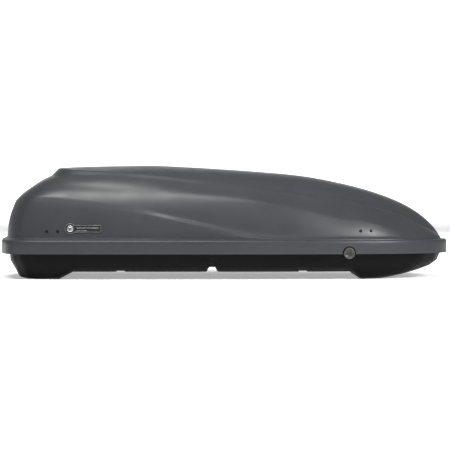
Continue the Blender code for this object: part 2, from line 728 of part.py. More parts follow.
# ---------------------------------------------------------------- hinges
def base_leaf(name, x, tray_tree, material):
    """The fixed leaf: a plate on the tray's wall, two arms and two knuckles."""
    wall = min(hit(tray_tree, (x + d, 0.386, 0.112), (0, -1, 0))[0].y for d in (-HINGE_HALF, 0, HINGE_HALF))
    reach = max(hit(tray_tree, (x + d, 0.386, 0.128), (0, -1, 0))[0].y for d in (-HINGE_HALF, 0, HINGE_HALF))
    y = max(wall, reach) + 0.0006 + LEAF_T / 2
    low, high = (x - HINGE_HALF, y - LEAF_T / 2, 0.1040), (x + HINGE_HALF, y + LEAF_T / 2, 0.1290)
    leaf = box(name, low, high, material)
    extra = []
    for side in (-1, 1):
        a, b = sorted((x + side * 0.0105, x + side * HINGE_HALF))
        path = [(y, 0.1060), (y, 0.0990), (HINGE_Y - 0.0036, 0.0950)]
        extra.append(prism("arm", ribbon(path, LEAF_T), "x", a, b, material))
        extra.append(ring_body("knuckle", KNUCKLE_R, PIN_BORE_R, "x", (HINGE_Y, HINGE_Z), a, b, 10, material))
        extra.append(
            round_rod("head", 0.0040, "y", (x + side * 0.018, 0.1190), y, y + LEAF_T / 2 + 0.0014, 8,
                      material)
        )
    return combine(leaf, "UNION", *extra)


def lid_leaf(name, x, lid_tree, material):
    """The moving leaf: a plate inside the lid's skirt and the middle knuckle."""
    spots = [hit(lid_tree, (x + d, 0.30, 0.108), (0, 1, 0))[0].y for d in (-HINGE_HALF, 0, HINGE_HALF)]
    y = min(spots) - 0.0005 - LEAF_T / 2
    low, high = (x - HINGE_HALF, y - LEAF_T / 2, 0.1045), (x + HINGE_HALF, y + LEAF_T / 2, 0.1400)
    leaf = box(name, low, high, material)
    path = [(y, 0.1060), (y, 0.1020), (HINGE_Y + 0.0032, 0.0964)]
    arm = prism("arm", ribbon(path, LEAF_T), "x", x - 0.0100, x + 0.0100, material)
    barrel = (HINGE_Y, HINGE_Z)
    knuckle = ring_body("knuckle", KNUCKLE_R, PIN_BORE_R, "x", barrel, x - 0.0100, x + 0.0100, 12, material)
    heads = [
        round_rod("head", 0.0040, "y", (x + s * 0.020, 0.1250), y - LEAF_T / 2 - 0.0012, y, 10, material)
        for s in (-1, 1)
    ]
    return combine(leaf, "UNION", arm, knuckle, *heads)


def hinge_pin(name, x, material):
    profile = [
        (PIN_R, -HINGE_HALF - 0.0010), (PIN_R, HINGE_HALF + 0.0004), (0.0040, HINGE_HALF + 0.0004),
        (0.0036, HINGE_HALF + 0.0020), (0.0002, HINGE_HALF + 0.0020), (0.0002, -HINGE_HALF - 0.0010),
    ]
    return rotated(turned(name, profile, 10, material), "y", 90, (x, HINGE_Y, HINGE_Z))


# ---------------------------------------------------------------- lock
def lock_parts(materials):
    """The fixed ring and barrel, the turning key cylinder and its crank."""
    face = LOCK_FACE_Y
    ring = [
        (CYLINDER_R + GAP, 0.0010), (0.0125, 0.0), (0.0205, 0.0), (BEZEL_R, 0.0018), (BEZEL_R, 0.0060),
        (BARREL_R, 0.0060), (BARREL_R, 0.0560), (CYLINDER_R + GAP, 0.0560),
    ]
    housing = rotated(turned("lock_housing", ring, 24, materials["ring"]), "x", -90, (LOCK_X, face, LOCK_Z))
    rear = -0.3085 - face
    core = round_rod("lock_cylinder", CYLINDER_R, "y", (LOCK_X, LOCK_Z), face + 0.0004, face + rear, 20)
    core.data.materials.append(materials["steel"])
    low = (LOCK_X - 0.0045, face - 0.002, LOCK_Z - 0.0008)
    high = (LOCK_X + 0.0045, face + 0.010, LOCK_Z + 0.0008)
    combine(core, "DIFFERENCE", box("keyway", low, high))
    angle = math.radians(-45)
    pin = (LOCK_X + CRANK_R * math.sin(angle), LOCK_Z - CRANK_R * math.cos(angle))
    outline = hull(circle((LOCK_X, LOCK_Z), 0.0090, 16) + circle(pin, 0.0055, 12))
    cam = prism("lock_cam", outline, "y", -0.3080, -0.3040, materials["steel"])
    combine(cam, "UNION", round_rod("pin", CRANK_PIN_R, "y", pin, -0.3045, -0.2940, 12))
    return housing, core, cam


def lock_bar(material):
    """The sliding bar, with the tab and upright slot that the crank's pin works in."""
    outer = BAR_Y - BAR_T
    bar = box("lock_bar", (BAR_X[0], outer, BAR_Z), (BAR_X[1], BAR_Y, BAR_Z + BAR_H), material)
    x = LOCK_X - CRANK_R * math.sin(math.radians(45))
    low, high = (x - 0.0105, outer, BAR_Z + BAR_H - 0.004), (x + 0.0105, BAR_Y, LOCK_Z - 0.0020)
    tab = box("tab", low, high, material)
    combine(bar, "UNION", tab)
    slot = stadium((x, LOCK_Z - CRANK_R), (x, LOCK_Z - CRANK_R / math.sqrt(2)), CRANK_PIN_R + 0.0008)
    return combine(bar, "DIFFERENCE", prism("slot", slot, "y", outer - 0.01, BAR_Y + 0.01))


def latch_hook(name, x, material):
    """An upright on the bar with a nose that slides over the lid's stud."""
    right = x - STUD_R - 0.0018 - BAR_TRAVEL
    left = right - 0.012
    top = STUD_Z + STUD_R + 0.0015
    outline = [
        (left, 0.0570), (right, 0.0570), (right, top), (right + 0.0140, top), (right + 0.0140, top + 0.0045),
        (right + 0.0100, top + 0.0090), (left + 0.003, top + 0.0090), (left, top + 0.006),
    ]
    return prism(name, outline, "y", BAR_Y + GAP, BAR_Y + GAP + 0.0030, material)


def bar_guide(name, x, tray_tree, material):
    """A block on the tray's floor with a window that the bar slides in."""
    spots = [(x + d, y, 0.12) for d in (-0.01, 0.01) for y in (-0.29, -0.307)]
    floor = max(hit(tray_tree, spot, (0, 0, -1))[0].z for spot in spots)
    low, high = (x - 0.010, -0.3070, floor + 0.0006), (x + 0.010, -0.2900, BAR_Z + BAR_H + 0.0045)
    guide = box(name, low, high, material)
    window_low = (x - 0.05, BAR_Y - BAR_T - 0.0005, BAR_Z - 0.0005)
    window_high = (x + 0.05, BAR_Y + 0.0005, BAR_Z + BAR_H + 0.0005)
    return combine(guide, "DIFFERENCE", box("window", window_low, window_high))


# ---------------------------------------------------------------- gas struts
def strut_geometry(end):
    """(station, foot point, lid point, arm length, closed angle between the arms), in the Y-Z plane."""
    x, lid_point = STRUTS[end]
    dy, dz = lid_point[0] - HINGE_Y, lid_point[1] - HINGE_Z
    arm = math.hypot(dy, dz)
    drop = STRUT_FOOT_Z - HINGE_Z
    foot = (HINGE_Y - math.sqrt(arm**2 - drop**2), STRUT_FOOT_Z)
    angle = (math.atan2(drop, foot[0] - HINGE_Y) - math.atan2(dz, dy)) % (2 * math.pi)
    return x, foot, lid_point, arm, angle


def strut_lengths(end):
    """(closed length, open length) between the two pivots."""
    _, _, _, arm, angle = strut_geometry(end)
    return 2 * arm * math.sin(angle / 2), 2 * arm * math.sin(angle / 2 + math.radians(OPEN_ANGLE) / 2)


def strut_matrix(end):
    """Puts local Z along the closed strut, from the foot pivot to the lid pivot."""
    x, foot, lid_point, _, _ = strut_geometry(end)
    direction = math.atan2(lid_point[1] - foot[1], lid_point[0] - foot[0])
    return Matrix.Translation((x, *foot)) @ Matrix.Rotation(direction - math.pi / 2, 4, "X")


def strut_parts(end, materials):
    """A gas cylinder with an eye at its foot, and a rod whose eye is a slot along the strut."""
    closed, extended = strut_lengths(end)
    top = closed - 0.040
    profile = [
        (0.0002, 0.012), (STRUT_R - 0.002, 0.012), (STRUT_R, 0.014), (STRUT_R, top - 0.0015),
        (STRUT_R - 0.0015, top), (ROD_R + 0.0005, top), (ROD_R + 0.0005, 0.028), (0.0002, 0.028),
    ]
    tube = turned(f"strut_tube_{end}", profile, 14, materials["strut"])
    eye = ring_body("eye", EYE_R, STRUT_PIN_R + GAP, "x", (0, 0), -0.003, 0.003, 14, materials["strut"])
    neck = box("neck", (-0.003, -0.0055, 0.0075), (0.003, 0.0055, 0.0130), materials["strut"])
    combine(tube, "UNION", neck, eye)
    rod_low = top - (extended - closed) - 0.012
    rod = round_rod(f"strut_rod_{end}", ROD_R, "z", (0, 0), max(rod_low, 0.030), closed - 0.0075, 12)
    rod.data.materials.append(materials["rod"])
    slip = 0.0105
    blade = prism("blade", stadium((0, closed), (0, closed + slip), EYE_R), "x", -0.0025, 0.0025)
    collar = round_rod("collar", 0.0060, "z", (0, 0), closed - 0.022, closed - 0.0102, 12)
    track = stadium((0, closed - 0.0002), (0, closed + slip), STRUT_PIN_R + GAP)
    slot = prism("slot", track, "x", -0.02, 0.02)
    combine(combine(rod, "UNION", collar, blade), "DIFFERENCE", slot)
    for part in (tube, rod):
        move(part, strut_matrix(end))
    return tube, rod


def pivot_stud(x, point, material):
    """The pin through an eye, with a head that keeps the eye on."""
    pin = round_rod("pin", STRUT_PIN_R, "x", point, x - 0.0050, x + LUG[1] - 0.0003, 12, material)
    head = round_rod("head", 0.0065, "x", point, x - 0.0062, x - 0.0044, 12, material)
    return [pin, head]


def foot_bracket(name, end, tray_tree, material):
    x, foot, _, _, _ = strut_geometry(end)
    floor = hit(tray_tree, (x, foot[0], 0.12), (0, 0, -1))[0].z + 0.0005
    low, high = (x - 0.020, foot[0] - 0.018, floor), (x + 0.024, foot[0] + 0.018, floor + 0.0025)
    plate = box(name, low, high, material)
    ends = [(foot[0] - 0.015, floor + 0.001), (foot[0] + 0.015, floor + 0.001)]
    outline = hull(circle(foot, 0.0085, 14) + ends)
    lug = prism("lug", outline, "x", x + LUG[0], x + LUG[1], material)
    return combine(plate, "UNION", lug, *pivot_stud(x, foot, material))


def lid_bracket(name, end, lid_tree, material):
    """A plate on the lid's side wall and a lug out to the strut's pivot."""
    x, _, point, _, _ = strut_geometry(end)
    aim = {"rear": (1.0, -0.95), "front": (1.0, 0.10)}[end]
    place, normal = hit(lid_tree, (x, *point), (0, *aim))
    frame = seat_frame(lid_tree, place, normal, 0.018, 0.016)
    plate = move(box(name, (-0.018, -0.016, 0.0012), (0.018, 0.016, 0.0037), material), frame)
    spots = [frame @ Vector((0, t, 0.0025)) for t in (-0.014, 0.014)]
    outline = hull(circle(point, 0.0085, 14) + [(spot.y, spot.z) for spot in spots])
    lug = prism("lug", outline, "x", x + LUG[0], x + LUG[1], material)
    return combine(plate, "UNION", lug, *pivot_stud(x, point, material))


# ---------------------------------------------------------------- roof-bar clamps
def floor_rail(name, side, material):
    """A steel strip along the top of a groove, with slots for the clamp bolts."""
    y = side * GROOVE_Y
    z = FLOOR_Z + GROOVE_DEPTH + TRAY_WALL + 0.0005
    rail = box(name, (-0.500, y - 0.0115, z), (0.405, y + 0.0115, z + 0.0020), material)
    cuts = []
    for station in CLAMP_X:
        for leg in (-1, 1):
            start, end = sorted((station + leg * 0.018, station + leg * 0.062))
            cuts.append(prism("slot", stadium((start, y), (end, y), 0.0055, 6), "z", z - 0.01, z + 0.01))
    return combine(rail, "DIFFERENCE", *cuts)


PLATE_Z = FLOOR_Z + GROOVE_DEPTH + TRAY_WALL + 0.0029  # underside of the clamp plates
KNOB_Z = PLATE_Z + 0.0034  # underside of the knobs


def clamp_plate(name, x, y, material):
    plate = box(name, (x - 0.058, y - 0.0150, PLATE_Z), (x + 0.058, y + 0.0150, PLATE_Z + 0.0030), material)
    holes = [round_rod("hole", 0.0047, "z", (x + s * LEG_X, y), 0.0, 0.2, 12) for s in (-1, 1)]
    return combine(plate, "DIFFERENCE", *holes)


def u_bolt(name, x, y, material):
    """A round bar bent to a U, with its bend at the bottom."""
    bend = 0.012
    low = BOLT_REST_Z
    path = [(-LEG_X, BOLT_TOP_Z), (-LEG_X, low + bend)]
    path += circle((-LEG_X + bend, low + bend), bend, 4, 180, 270)[1:]
    path += circle((LEG_X - bend, low + bend), bend, 4, 270, 360)
    path += [(LEG_X, BOLT_TOP_Z)]
    points, faces = [], []
    count = 8
    for i, p in enumerate(path):
        before = Vector(p) - Vector(path[max(i - 1, 0)])
        after = Vector(path[min(i + 1, len(path) - 1)]) - Vector(p)
        along = (before.normalized() + after.normalized()).normalized()
        wide = BOLT_R / max(along.dot(after.normalized() if after.length else along), 0.5)
        for a in circle((0, 0), 1.0, count):
            points.append((x + p[0] - along.y * wide * a[0], y + BOLT_R * a[1], p[1] + along.x * wide * a[0]))
    for i in range(len(path) - 1):
        for j in range(count):
            k = (j + 1) % count
            faces.append([i * count + j, i * count + k, (i + 1) * count + k, (i + 1) * count + j])
    last = (len(path) - 1) * count
    faces += [list(range(count))[::-1], [last + i for i in range(count)]]
    return add_object(name, points, faces, material)


def knob(name, x, y, material):
    """A five-lobed hand nut on a bolt leg."""
    count = 15
    wave = [1 - 0.16 * (0.5 - 0.5 * math.cos(2 * math.pi * 5 * i / count)) for i in range(count)]
    levels = [(0.0190, 0.0), (0.0215, 0.0030), (0.0215, 0.0175), (0.0175, 0.0205)]
    levels += [(0.0045, 0.0205), (0.0045, 0.0)]
    points, faces = [], []
    for radius, z in levels:
        for i in range(count):
            r = radius * (wave[i] if radius > BOLT_R * 2 else 1.0)
            angle = 2 * math.pi * i / count
            points.append((x + r * math.cos(angle), y + r * math.sin(angle), KNOB_Z + z))
    for j in range(len(levels)):
        n = (j + 1) % len(levels)
        for i in range(count):
            k = (i + 1) % count
            faces.append([j * count + i, j * count + k, n * count + k, n * count + i])
    return add_object(name, points, faces, material)


# ---------------------------------------------------------------- load straps
STRAP_X = (-0.250, 0.150)


def strap_parts(index, x, materials):
    """A webbing strap across the floor, riveted down at both ends, and its buckle."""
    z = FLOOR_Z + TRAY_WALL + 0.0006
    path = [(-0.218, z + 0.0009), (-0.150, z + 0.0009), (-0.110, z + 0.0030), (0.110, z + 0.0030)]
    path += [(0.150, z + 0.0009), (0.218, z + 0.0009)]
    shape = ribbon(path, 0.0016)
    strap = prism(f"load_strap_{index}", shape, "x", x - 0.0125, x + 0.0125, materials["strap"])
    heads = [round_rod("head", 0.0060, "z", (x, s * 0.208), z + 0.0010, z + 0.0038, 12) for s in (-1, 1)]
    combine(strap, "UNION", *heads)
    low, high = (x - 0.0190, 0.0250, z + 0.0003), (x + 0.0190, 0.0650, z + 0.0105)
    buckle = box(f"strap_buckle_{index}", low, high, materials["tray"])
    window = box("window", (x - 0.0135, 0.0, z + 0.0016), (x + 0.0135, 0.10, z + 0.0050))
    return strap, combine(buckle, "DIFFERENCE", window)


# ---------------------------------------------------------------- assembly
def body_empty(name, place):
    """An empty on a joint's axis that carries a moving piece."""
    empty = bpy.data.objects.new(name, None)
    empty.empty_display_size = 0.03
    empty.location = place
    bpy.context.scene.collection.objects.link(empty)
    return empty


def carry(empty, parts):
    bpy.context.view_layer.update()
    for part in parts:
        part.parent = empty
        part.matrix_parent_inverse = empty.matrix_world.inverted()


def make_materials():
    return {
        "lid": make_material("lid_plastic", (0.085, 0.087, 0.093), 0.45),
        "tray": make_material("tray_plastic", (0.012, 0.012, 0.013), 0.5),
        "steel": make_material("zinc_steel", (0.55, 0.55, 0.56), 0.35, 1.0),
        "ring": make_material("lock_ring_plastic", (0.16, 0.16, 0.17), 0.35),
        "badge": make_material("badge_plastic", (0.008, 0.008, 0.009), 0.25),
        "dark": make_material("black_steel", (0.02, 0.02, 0.02), 0.4, 0.6),
        "strut": make_material("strut_paint", (0.015, 0.015, 0.016), 0.3),
        "rod": make_material("strut_rod_chrome", (0.75, 0.75, 0.77), 0.12, 1.0),
        "strap": make_material("strap_webbing", (0.03, 0.03, 0.032), 0.9),
    }


def main():
    clear_scene()
    m = make_materials()
    lid = make_shell("lid_shell", lid_surface(LID_ROWS, LID_COLUMNS, (0.5,)), LID_WALL, True, m["lid"])
    tray = make_shell("base_tray", tray_surface(), TRAY_WALL, False, m["tray"])
    lid_tree, tray_tree = tree_of(lid), tree_of(tray)
    on_lid = [lid, make_badge(lid_tree, m["badge"])]
    on_lid += [make_rib(f"lid_rib_{i + 1}", x, lid_tree, m["tray"]) for i, x in enumerate((-0.33, 0.09))]
    rivet = 0
    for catch in CATCH_X:
        on_lid.append(make_catch(f"lid_catch_{catch}", catch, lid_tree, m["steel"]))
        for frame in rivet_frames(lid_tree, catch)[1]:
            rivet += 1
            on_lid.append(make_rivet(f"catch_rivet_{rivet}", frame, lid_tree, m["dark"]))
    for i, x in enumerate(HINGE_X):
        on_lid.append(lid_leaf(f"hinge_lid_leaf_{i + 1}", x, lid_tree, m["steel"]))
        base_leaf(f"hinge_base_leaf_{i + 1}", x, tray_tree, m["steel"])
        hinge_pin(f"hinge_pin_{i + 1}", x, m["steel"])
    for end in STRUTS:
        on_lid.append(lid_bracket(f"strut_lid_bracket_{end}", end, lid_tree, m["dark"]))
        foot_bracket(f"strut_foot_bracket_{end}", end, tray_tree, m["dark"])
        x, foot, _, _, _ = strut_geometry(end)
        tube, rod = strut_parts(end, m)
        carry(body_empty(f"strut_tube_body_{end}", (x, *foot)), [tube])
        carry(body_empty(f"strut_rod_body_{end}", (x, *foot)), [rod])
    _, core, cam = lock_parts(m)
    carry(body_empty("key_body", (LOCK_X, LOCK_FACE_Y, LOCK_Z)), [core, cam])
    hooks = [latch_hook(f"latch_hook_{end}", x, m["steel"]) for end, x in CATCH_X.items()]
    carry(body_empty("bar_body", (0, BAR_Y, BAR_Z)), [lock_bar(m["steel"]), *hooks])
    for i, x in enumerate(GUIDE_X):
        bar_guide(f"bar_guide_{i + 1}", x, tray_tree, m["tray"])
    for side, name in ((-1, "near"), (1, "far")):
        floor_rail(f"floor_rail_{name}", side, m["steel"])
    clamps = [(x, side * GROOVE_Y) for x in CLAMP_X for side in (-1, 1)]
    for i, (x, y) in enumerate(clamps):
        clamp_plate(f"clamp_plate_{i + 1}", x, y, m["dark"])
        bolt = u_bolt(f"u_bolt_{i + 1}", x, y, m["steel"])
        carry(body_empty(f"u_bolt_body_{i + 1}", (x, y, BOLT_REST_Z)), [bolt])
        for j, leg in enumerate((-1, 1)):
            place = (x + leg * LEG_X, y, KNOB_Z)
            hand_nut = knob(f"knob_{2 * i + j + 1}", place[0], y, m["tray"])
            carry(body_empty(f"knob_body_{2 * i + j + 1}", place), [hand_nut])
    for i, x in enumerate(STRAP_X):
        strap_parts(i + 1, x, m)
    carry(body_empty("lid_body", (0, HINGE_Y, HINGE_Z)), on_lid)
    finish_lid(lid, lid_tree)
    finish_tray(tray)


main()
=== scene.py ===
"""The looks of the roof cargo box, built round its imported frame. Metres, +Z up, +X towards the nose."""

import json
import math

import bmesh
import bpy
import numpy as np
from mathutils import Matrix, Vector
from mathutils.bvhtree import BVHTree


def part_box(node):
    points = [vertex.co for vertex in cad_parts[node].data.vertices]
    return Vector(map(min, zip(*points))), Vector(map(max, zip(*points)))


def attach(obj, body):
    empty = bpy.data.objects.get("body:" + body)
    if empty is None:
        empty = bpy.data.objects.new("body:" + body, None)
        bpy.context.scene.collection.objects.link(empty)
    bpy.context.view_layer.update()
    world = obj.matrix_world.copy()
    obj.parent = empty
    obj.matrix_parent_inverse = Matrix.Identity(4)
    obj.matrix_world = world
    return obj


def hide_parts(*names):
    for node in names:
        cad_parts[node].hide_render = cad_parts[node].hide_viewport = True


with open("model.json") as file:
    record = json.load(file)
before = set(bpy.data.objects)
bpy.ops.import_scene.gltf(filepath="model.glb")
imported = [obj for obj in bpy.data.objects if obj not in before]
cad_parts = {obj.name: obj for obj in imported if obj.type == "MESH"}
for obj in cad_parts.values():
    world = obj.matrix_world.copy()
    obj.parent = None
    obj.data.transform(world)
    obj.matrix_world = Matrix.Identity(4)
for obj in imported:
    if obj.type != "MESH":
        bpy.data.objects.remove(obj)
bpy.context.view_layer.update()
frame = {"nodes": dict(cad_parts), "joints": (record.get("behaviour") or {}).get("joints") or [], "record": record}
BODIES = frame["record"]["behaviour"]["bodies"]
SLOTS = {part["node"]: part["material_slot"] for part in frame["record"]["subparts"]}
JOINTS = {joint["name"]: joint for joint in frame["joints"]}
BODY_OF = {node: body for body, nodes in BODIES.items() for node in nodes}

# ---------------------------------------------------------------- sizes shared with the CAD model
LENGTH, WIDTH, WIDEST_X = 1.818, 0.800, -0.10
TAIL_POWER, NOSE_POWER, TAIL_BOW, TAIL_BOW_REACH = 8.0, 2.9, 0.057, 12
SKIRT_BOTTOM, SKIRT_TOP, FLANGE, LID_WALL = 0.101, 0.156, 0.024, 0.0030
RIM_GAP, RIM_Z, RIM_LIP, TRAY_WALL, TRAY_INSET, FLOOR_Z = 0.0135, 0.1450, 0.012, 0.0035, 0.032, 0.0295
GROOVE_Y, GROOVE_DEPTH, GROOVE_FOOT, GROOVE_TOP, GROOVE_ENDS = 0.250, 0.020, 0.015, 0.009, (-0.545, 0.430)
CHANNEL_X, CHANNEL_DEPTH, CHANNEL_FOOT, CHANNEL_TOP = -0.046, 0.019, 0.021, 0.012
CLAMP_X, SEAT_DEPTH, SEAT_FOOT, SEAT_TOP = (-0.407, 0.313), 0.004, 0.0175, 0.0135
FLOOR_HALF = 0.312
LOCK_X, LOCK_Z, ARCH_R, BARREL_R = 0.492, 0.105, 0.0265, 0.0155
BADGE_HALF, BADGE_BAR_HALF, BADGE_END_R, BADGE_CORNER_R = 0.0718, 0.0148, 0.0215, 0.0050
LEG_X, BOLT_R = 0.040, 0.0040


# ---------------------------------------------------------------- mesh helpers
def curve_through(points):
    """A smooth function through (x, value) points that doesn't overshoot between them."""
    xs = np.array([p[0] for p in points])
    ys = np.array([p[1] for p in points])
    step = np.diff(xs)
    slope = np.diff(ys) / step
    tangent = np.zeros(len(xs))
    tangent[0], tangent[-1] = slope[0], slope[-1]
    for i in range(1, len(xs) - 1):
        if slope[i - 1] * slope[i] > 0:
            a = 2 * step[i] + step[i - 1]
            b = step[i] + 2 * step[i - 1]
            tangent[i] = (a + b) / (a / slope[i - 1] + b / slope[i])

    def value(x):
        x = min(max(x, xs[0]), xs[-1])
        i = min(int(np.searchsorted(xs, x, side="right")) - 1, len(step) - 1)
        t = (x - xs[i]) / step[i]
        return (
            (1 + 2 * t) * (1 - t) ** 2 * ys[i]
            + t * (1 - t) ** 2 * step[i] * tangent[i]
            + t * t * (3 - 2 * t) * ys[i + 1]
            + t * t * (t - 1) * step[i] * tangent[i + 1]
        )

    return value


def ease(value, low, high):
    """0 below low, 1 above high, smooth between them."""
    t = min(max((value - low) / (high - low), 0.0), 1.0)
    return t * t * (3 - 2 * t)


def new_object(name, points, faces, material, weld=True, smooth_angle=40.0):
    mesh = bpy.data.meshes.new(name)
    mesh.from_pydata([tuple(p) for p in points], [], faces)
    if weld:
        bm = bmesh.new()
        bm.from_mesh(mesh)
        bmesh.ops.remove_doubles(bm, verts=bm.verts, dist=1e-6)
        bmesh.ops.recalc_face_normals(bm, faces=bm.faces)
        bm.to_mesh(mesh)
        bm.free()
    mesh.shade_smooth()
    mesh.set_sharp_from_angle(angle=math.radians(smooth_angle))
    obj = bpy.data.objects.new(name, mesh)
    bpy.context.scene.collection.objects.link(obj)
    mesh.materials.append(material)
    return obj


def bake(obj, smooth_angle=40.0):
    """Turns an object's modifiers into its own mesh."""
    bpy.context.view_layer.update()
    graph = bpy.context.evaluated_depsgraph_get()
    mesh = bpy.data.meshes.new_from_object(obj.evaluated_get(graph))
    obj.modifiers.clear()
    obj.data = mesh
    mesh.shade_smooth()
    mesh.set_sharp_from_angle(angle=math.radians(smooth_angle))
    return obj


def combine(obj, operation, *others):
    for other in others:
        modifier = obj.modifiers.new(operation.lower(), "BOOLEAN")
        modifier.operation = operation
        modifier.solver = "EXACT"
        modifier.object = other
    bake(obj)
    for other in others:
        bpy.data.objects.remove(other, do_unlink=True)
    return obj


def circle(center, radius, count, start=0.0, end=360.0):
    """Points of an arc in a plane. A full circle leaves out its last point."""
    steps = count if abs(end - start) >= 360.0 else count - 1
    angles = [math.radians(start + (end - start) * i / steps) for i in range(count)]
    return [(center[0] + radius * math.cos(a), center[1] + radius * math.sin(a)) for a in angles]


def rectangle(left, bottom, right, top):
    return [(left, bottom), (right, bottom), (right, top), (left, top)]


def stadium(start, end, radius, count=13):
    """Outline of a slot between two 2-D points, with round ends."""
    angle = math.degrees(math.atan2(end[1] - start[1], end[0] - start[0]))
    first = circle(end, radius, count, angle - 90, angle + 90)
    return first + circle(start, radius, count, angle + 90, angle + 270)


def prism(name, outline, axis, low, high, material):
    """A flat outline pushed along an axis. The outline is in the other two axes, in X, Y, Z order."""
    order = {"x": (1, 2, 0), "y": (0, 2, 1), "z": (0, 1, 2)}[axis]
    points = []
    for along in (low, high):
        for a, b in outline:
            point = [0.0, 0.0, 0.0]
            point[order[0]], point[order[1]], point[order[2]] = a, b, along
            points.append(point)
    count = len(outline)
    faces = [list(range(count))[::-1], [count + i for i in range(count)]]
    faces += [[i, (i + 1) % count, count + (i + 1) % count, count + i] for i in range(count)]
    return new_object(name, points, faces, material)


def loft(name, rings, material, closed=False, capped=True, smooth_angle=40.0):
    """A skin over rings of points. `closed` joins the last ring to the first."""
    count = len(rings[0])
    points = [p for ring in rings for p in ring]
    faces = []
    for r in range(len(rings) if closed else len(rings) - 1):
        after = (r + 1) % len(rings)
        for i in range(count):
            j = (i + 1) % count
            faces.append([r * count + i, r * count + j, after * count + j, after * count + i])
    if capped and not closed:
        last = (len(rings) - 1) * count
        faces += [list(range(count))[::-1], [last + i for i in range(count)]]
    return new_object(name, points, faces, material, smooth_angle=smooth_angle)


def turned(name, profile, segments, material, lobes=None, closed=True, smooth_angle=40.0):
    """A body turned about Z from (radius, height) points. lobes(angle) scales the outer radii."""
    rings = []
    for radius, height in profile:
        ring = []
        for i in range(segments):
            angle = 2 * math.pi * i / segments
            scale = lobes(angle, radius) if lobes else 1.0
            ring.append((radius * scale * math.cos(angle), radius * scale * math.sin(angle), height))
        rings.append(ring)
    return loft(name, rings, material, closed=closed, capped=not closed, smooth_angle=smooth_angle)


def rounded_profile(corners, radius, steps=4):
    """Rounds every corner of a closed (radius, height) profile."""
    count = len(corners)
    result = []
    for i in range(count):
        p = Vector(corners[i])
        before = Vector(corners[i - 1]) - p
        after = Vector(corners[(i + 1) % count]) - p
        cut = min(radius, before.length * 0.45, after.length * 0.45)
        a = p + before.normalized() * cut
        b = p + after.normalized() * cut
        for s in range(steps + 1):
            t = s / steps
            result.append(tuple(a * (1 - t) ** 2 + p * 2 * t * (1 - t) + b * t * t))
    return result


def move(obj, matrix):
    obj.data.transform(matrix)
    return obj


def add_bevel(obj, width, segments=2, angle=30.0):
    modifier = obj.modifiers.new("soft_edges", "BEVEL")
    modifier.width = width
    modifier.segments = segments
    modifier.limit_method = "ANGLE"
    modifier.angle_limit = math.radians(angle)
    modifier.harden_normals = False
    return obj


def tree_of(obj):
    return BVHTree.FromPolygons([v.co for v in obj.data.vertices], [p.vertices for p in obj.data.polygons])


def hit(tree, origin, direction):
    place, normal, _, _ = tree.ray_cast(Vector(origin), Vector(direction).normalized())
    if normal.dot(Vector(direction)) > 0:
        normal = -normal
    return place, normal


def frame_on(place, normal):
    """A matrix whose local Z is the normal, local X runs along the box and local Y goes up the wall."""
    x = Vector((0, 0, 1)).cross(normal).normalized()
    rotation = Matrix((x, normal.cross(x), normal)).transposed().to_4x4()
    return Matrix.Translation(place) @ rotation


def on_near_wall(tree, node):
    """The matrix of frame_on where the middle of a CAD node meets the wall that faces -Y."""
    low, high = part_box(node)
    start = ((low[0] + high[0]) / 2, -0.60, (low[2] + high[2]) / 2)
    return frame_on(*hit(tree, start, (0, 1, 0)))


def stand_for(piece, *nodes):
    """The piece takes the place of CAD nodes that share a body and a material slot."""
    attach(piece, BODY_OF[nodes[0]])
    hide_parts(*nodes)
    return piece


def go_with(piece, node):
    """A detail that moves with a CAD node's body."""
    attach(piece, BODY_OF[node])
    return piece


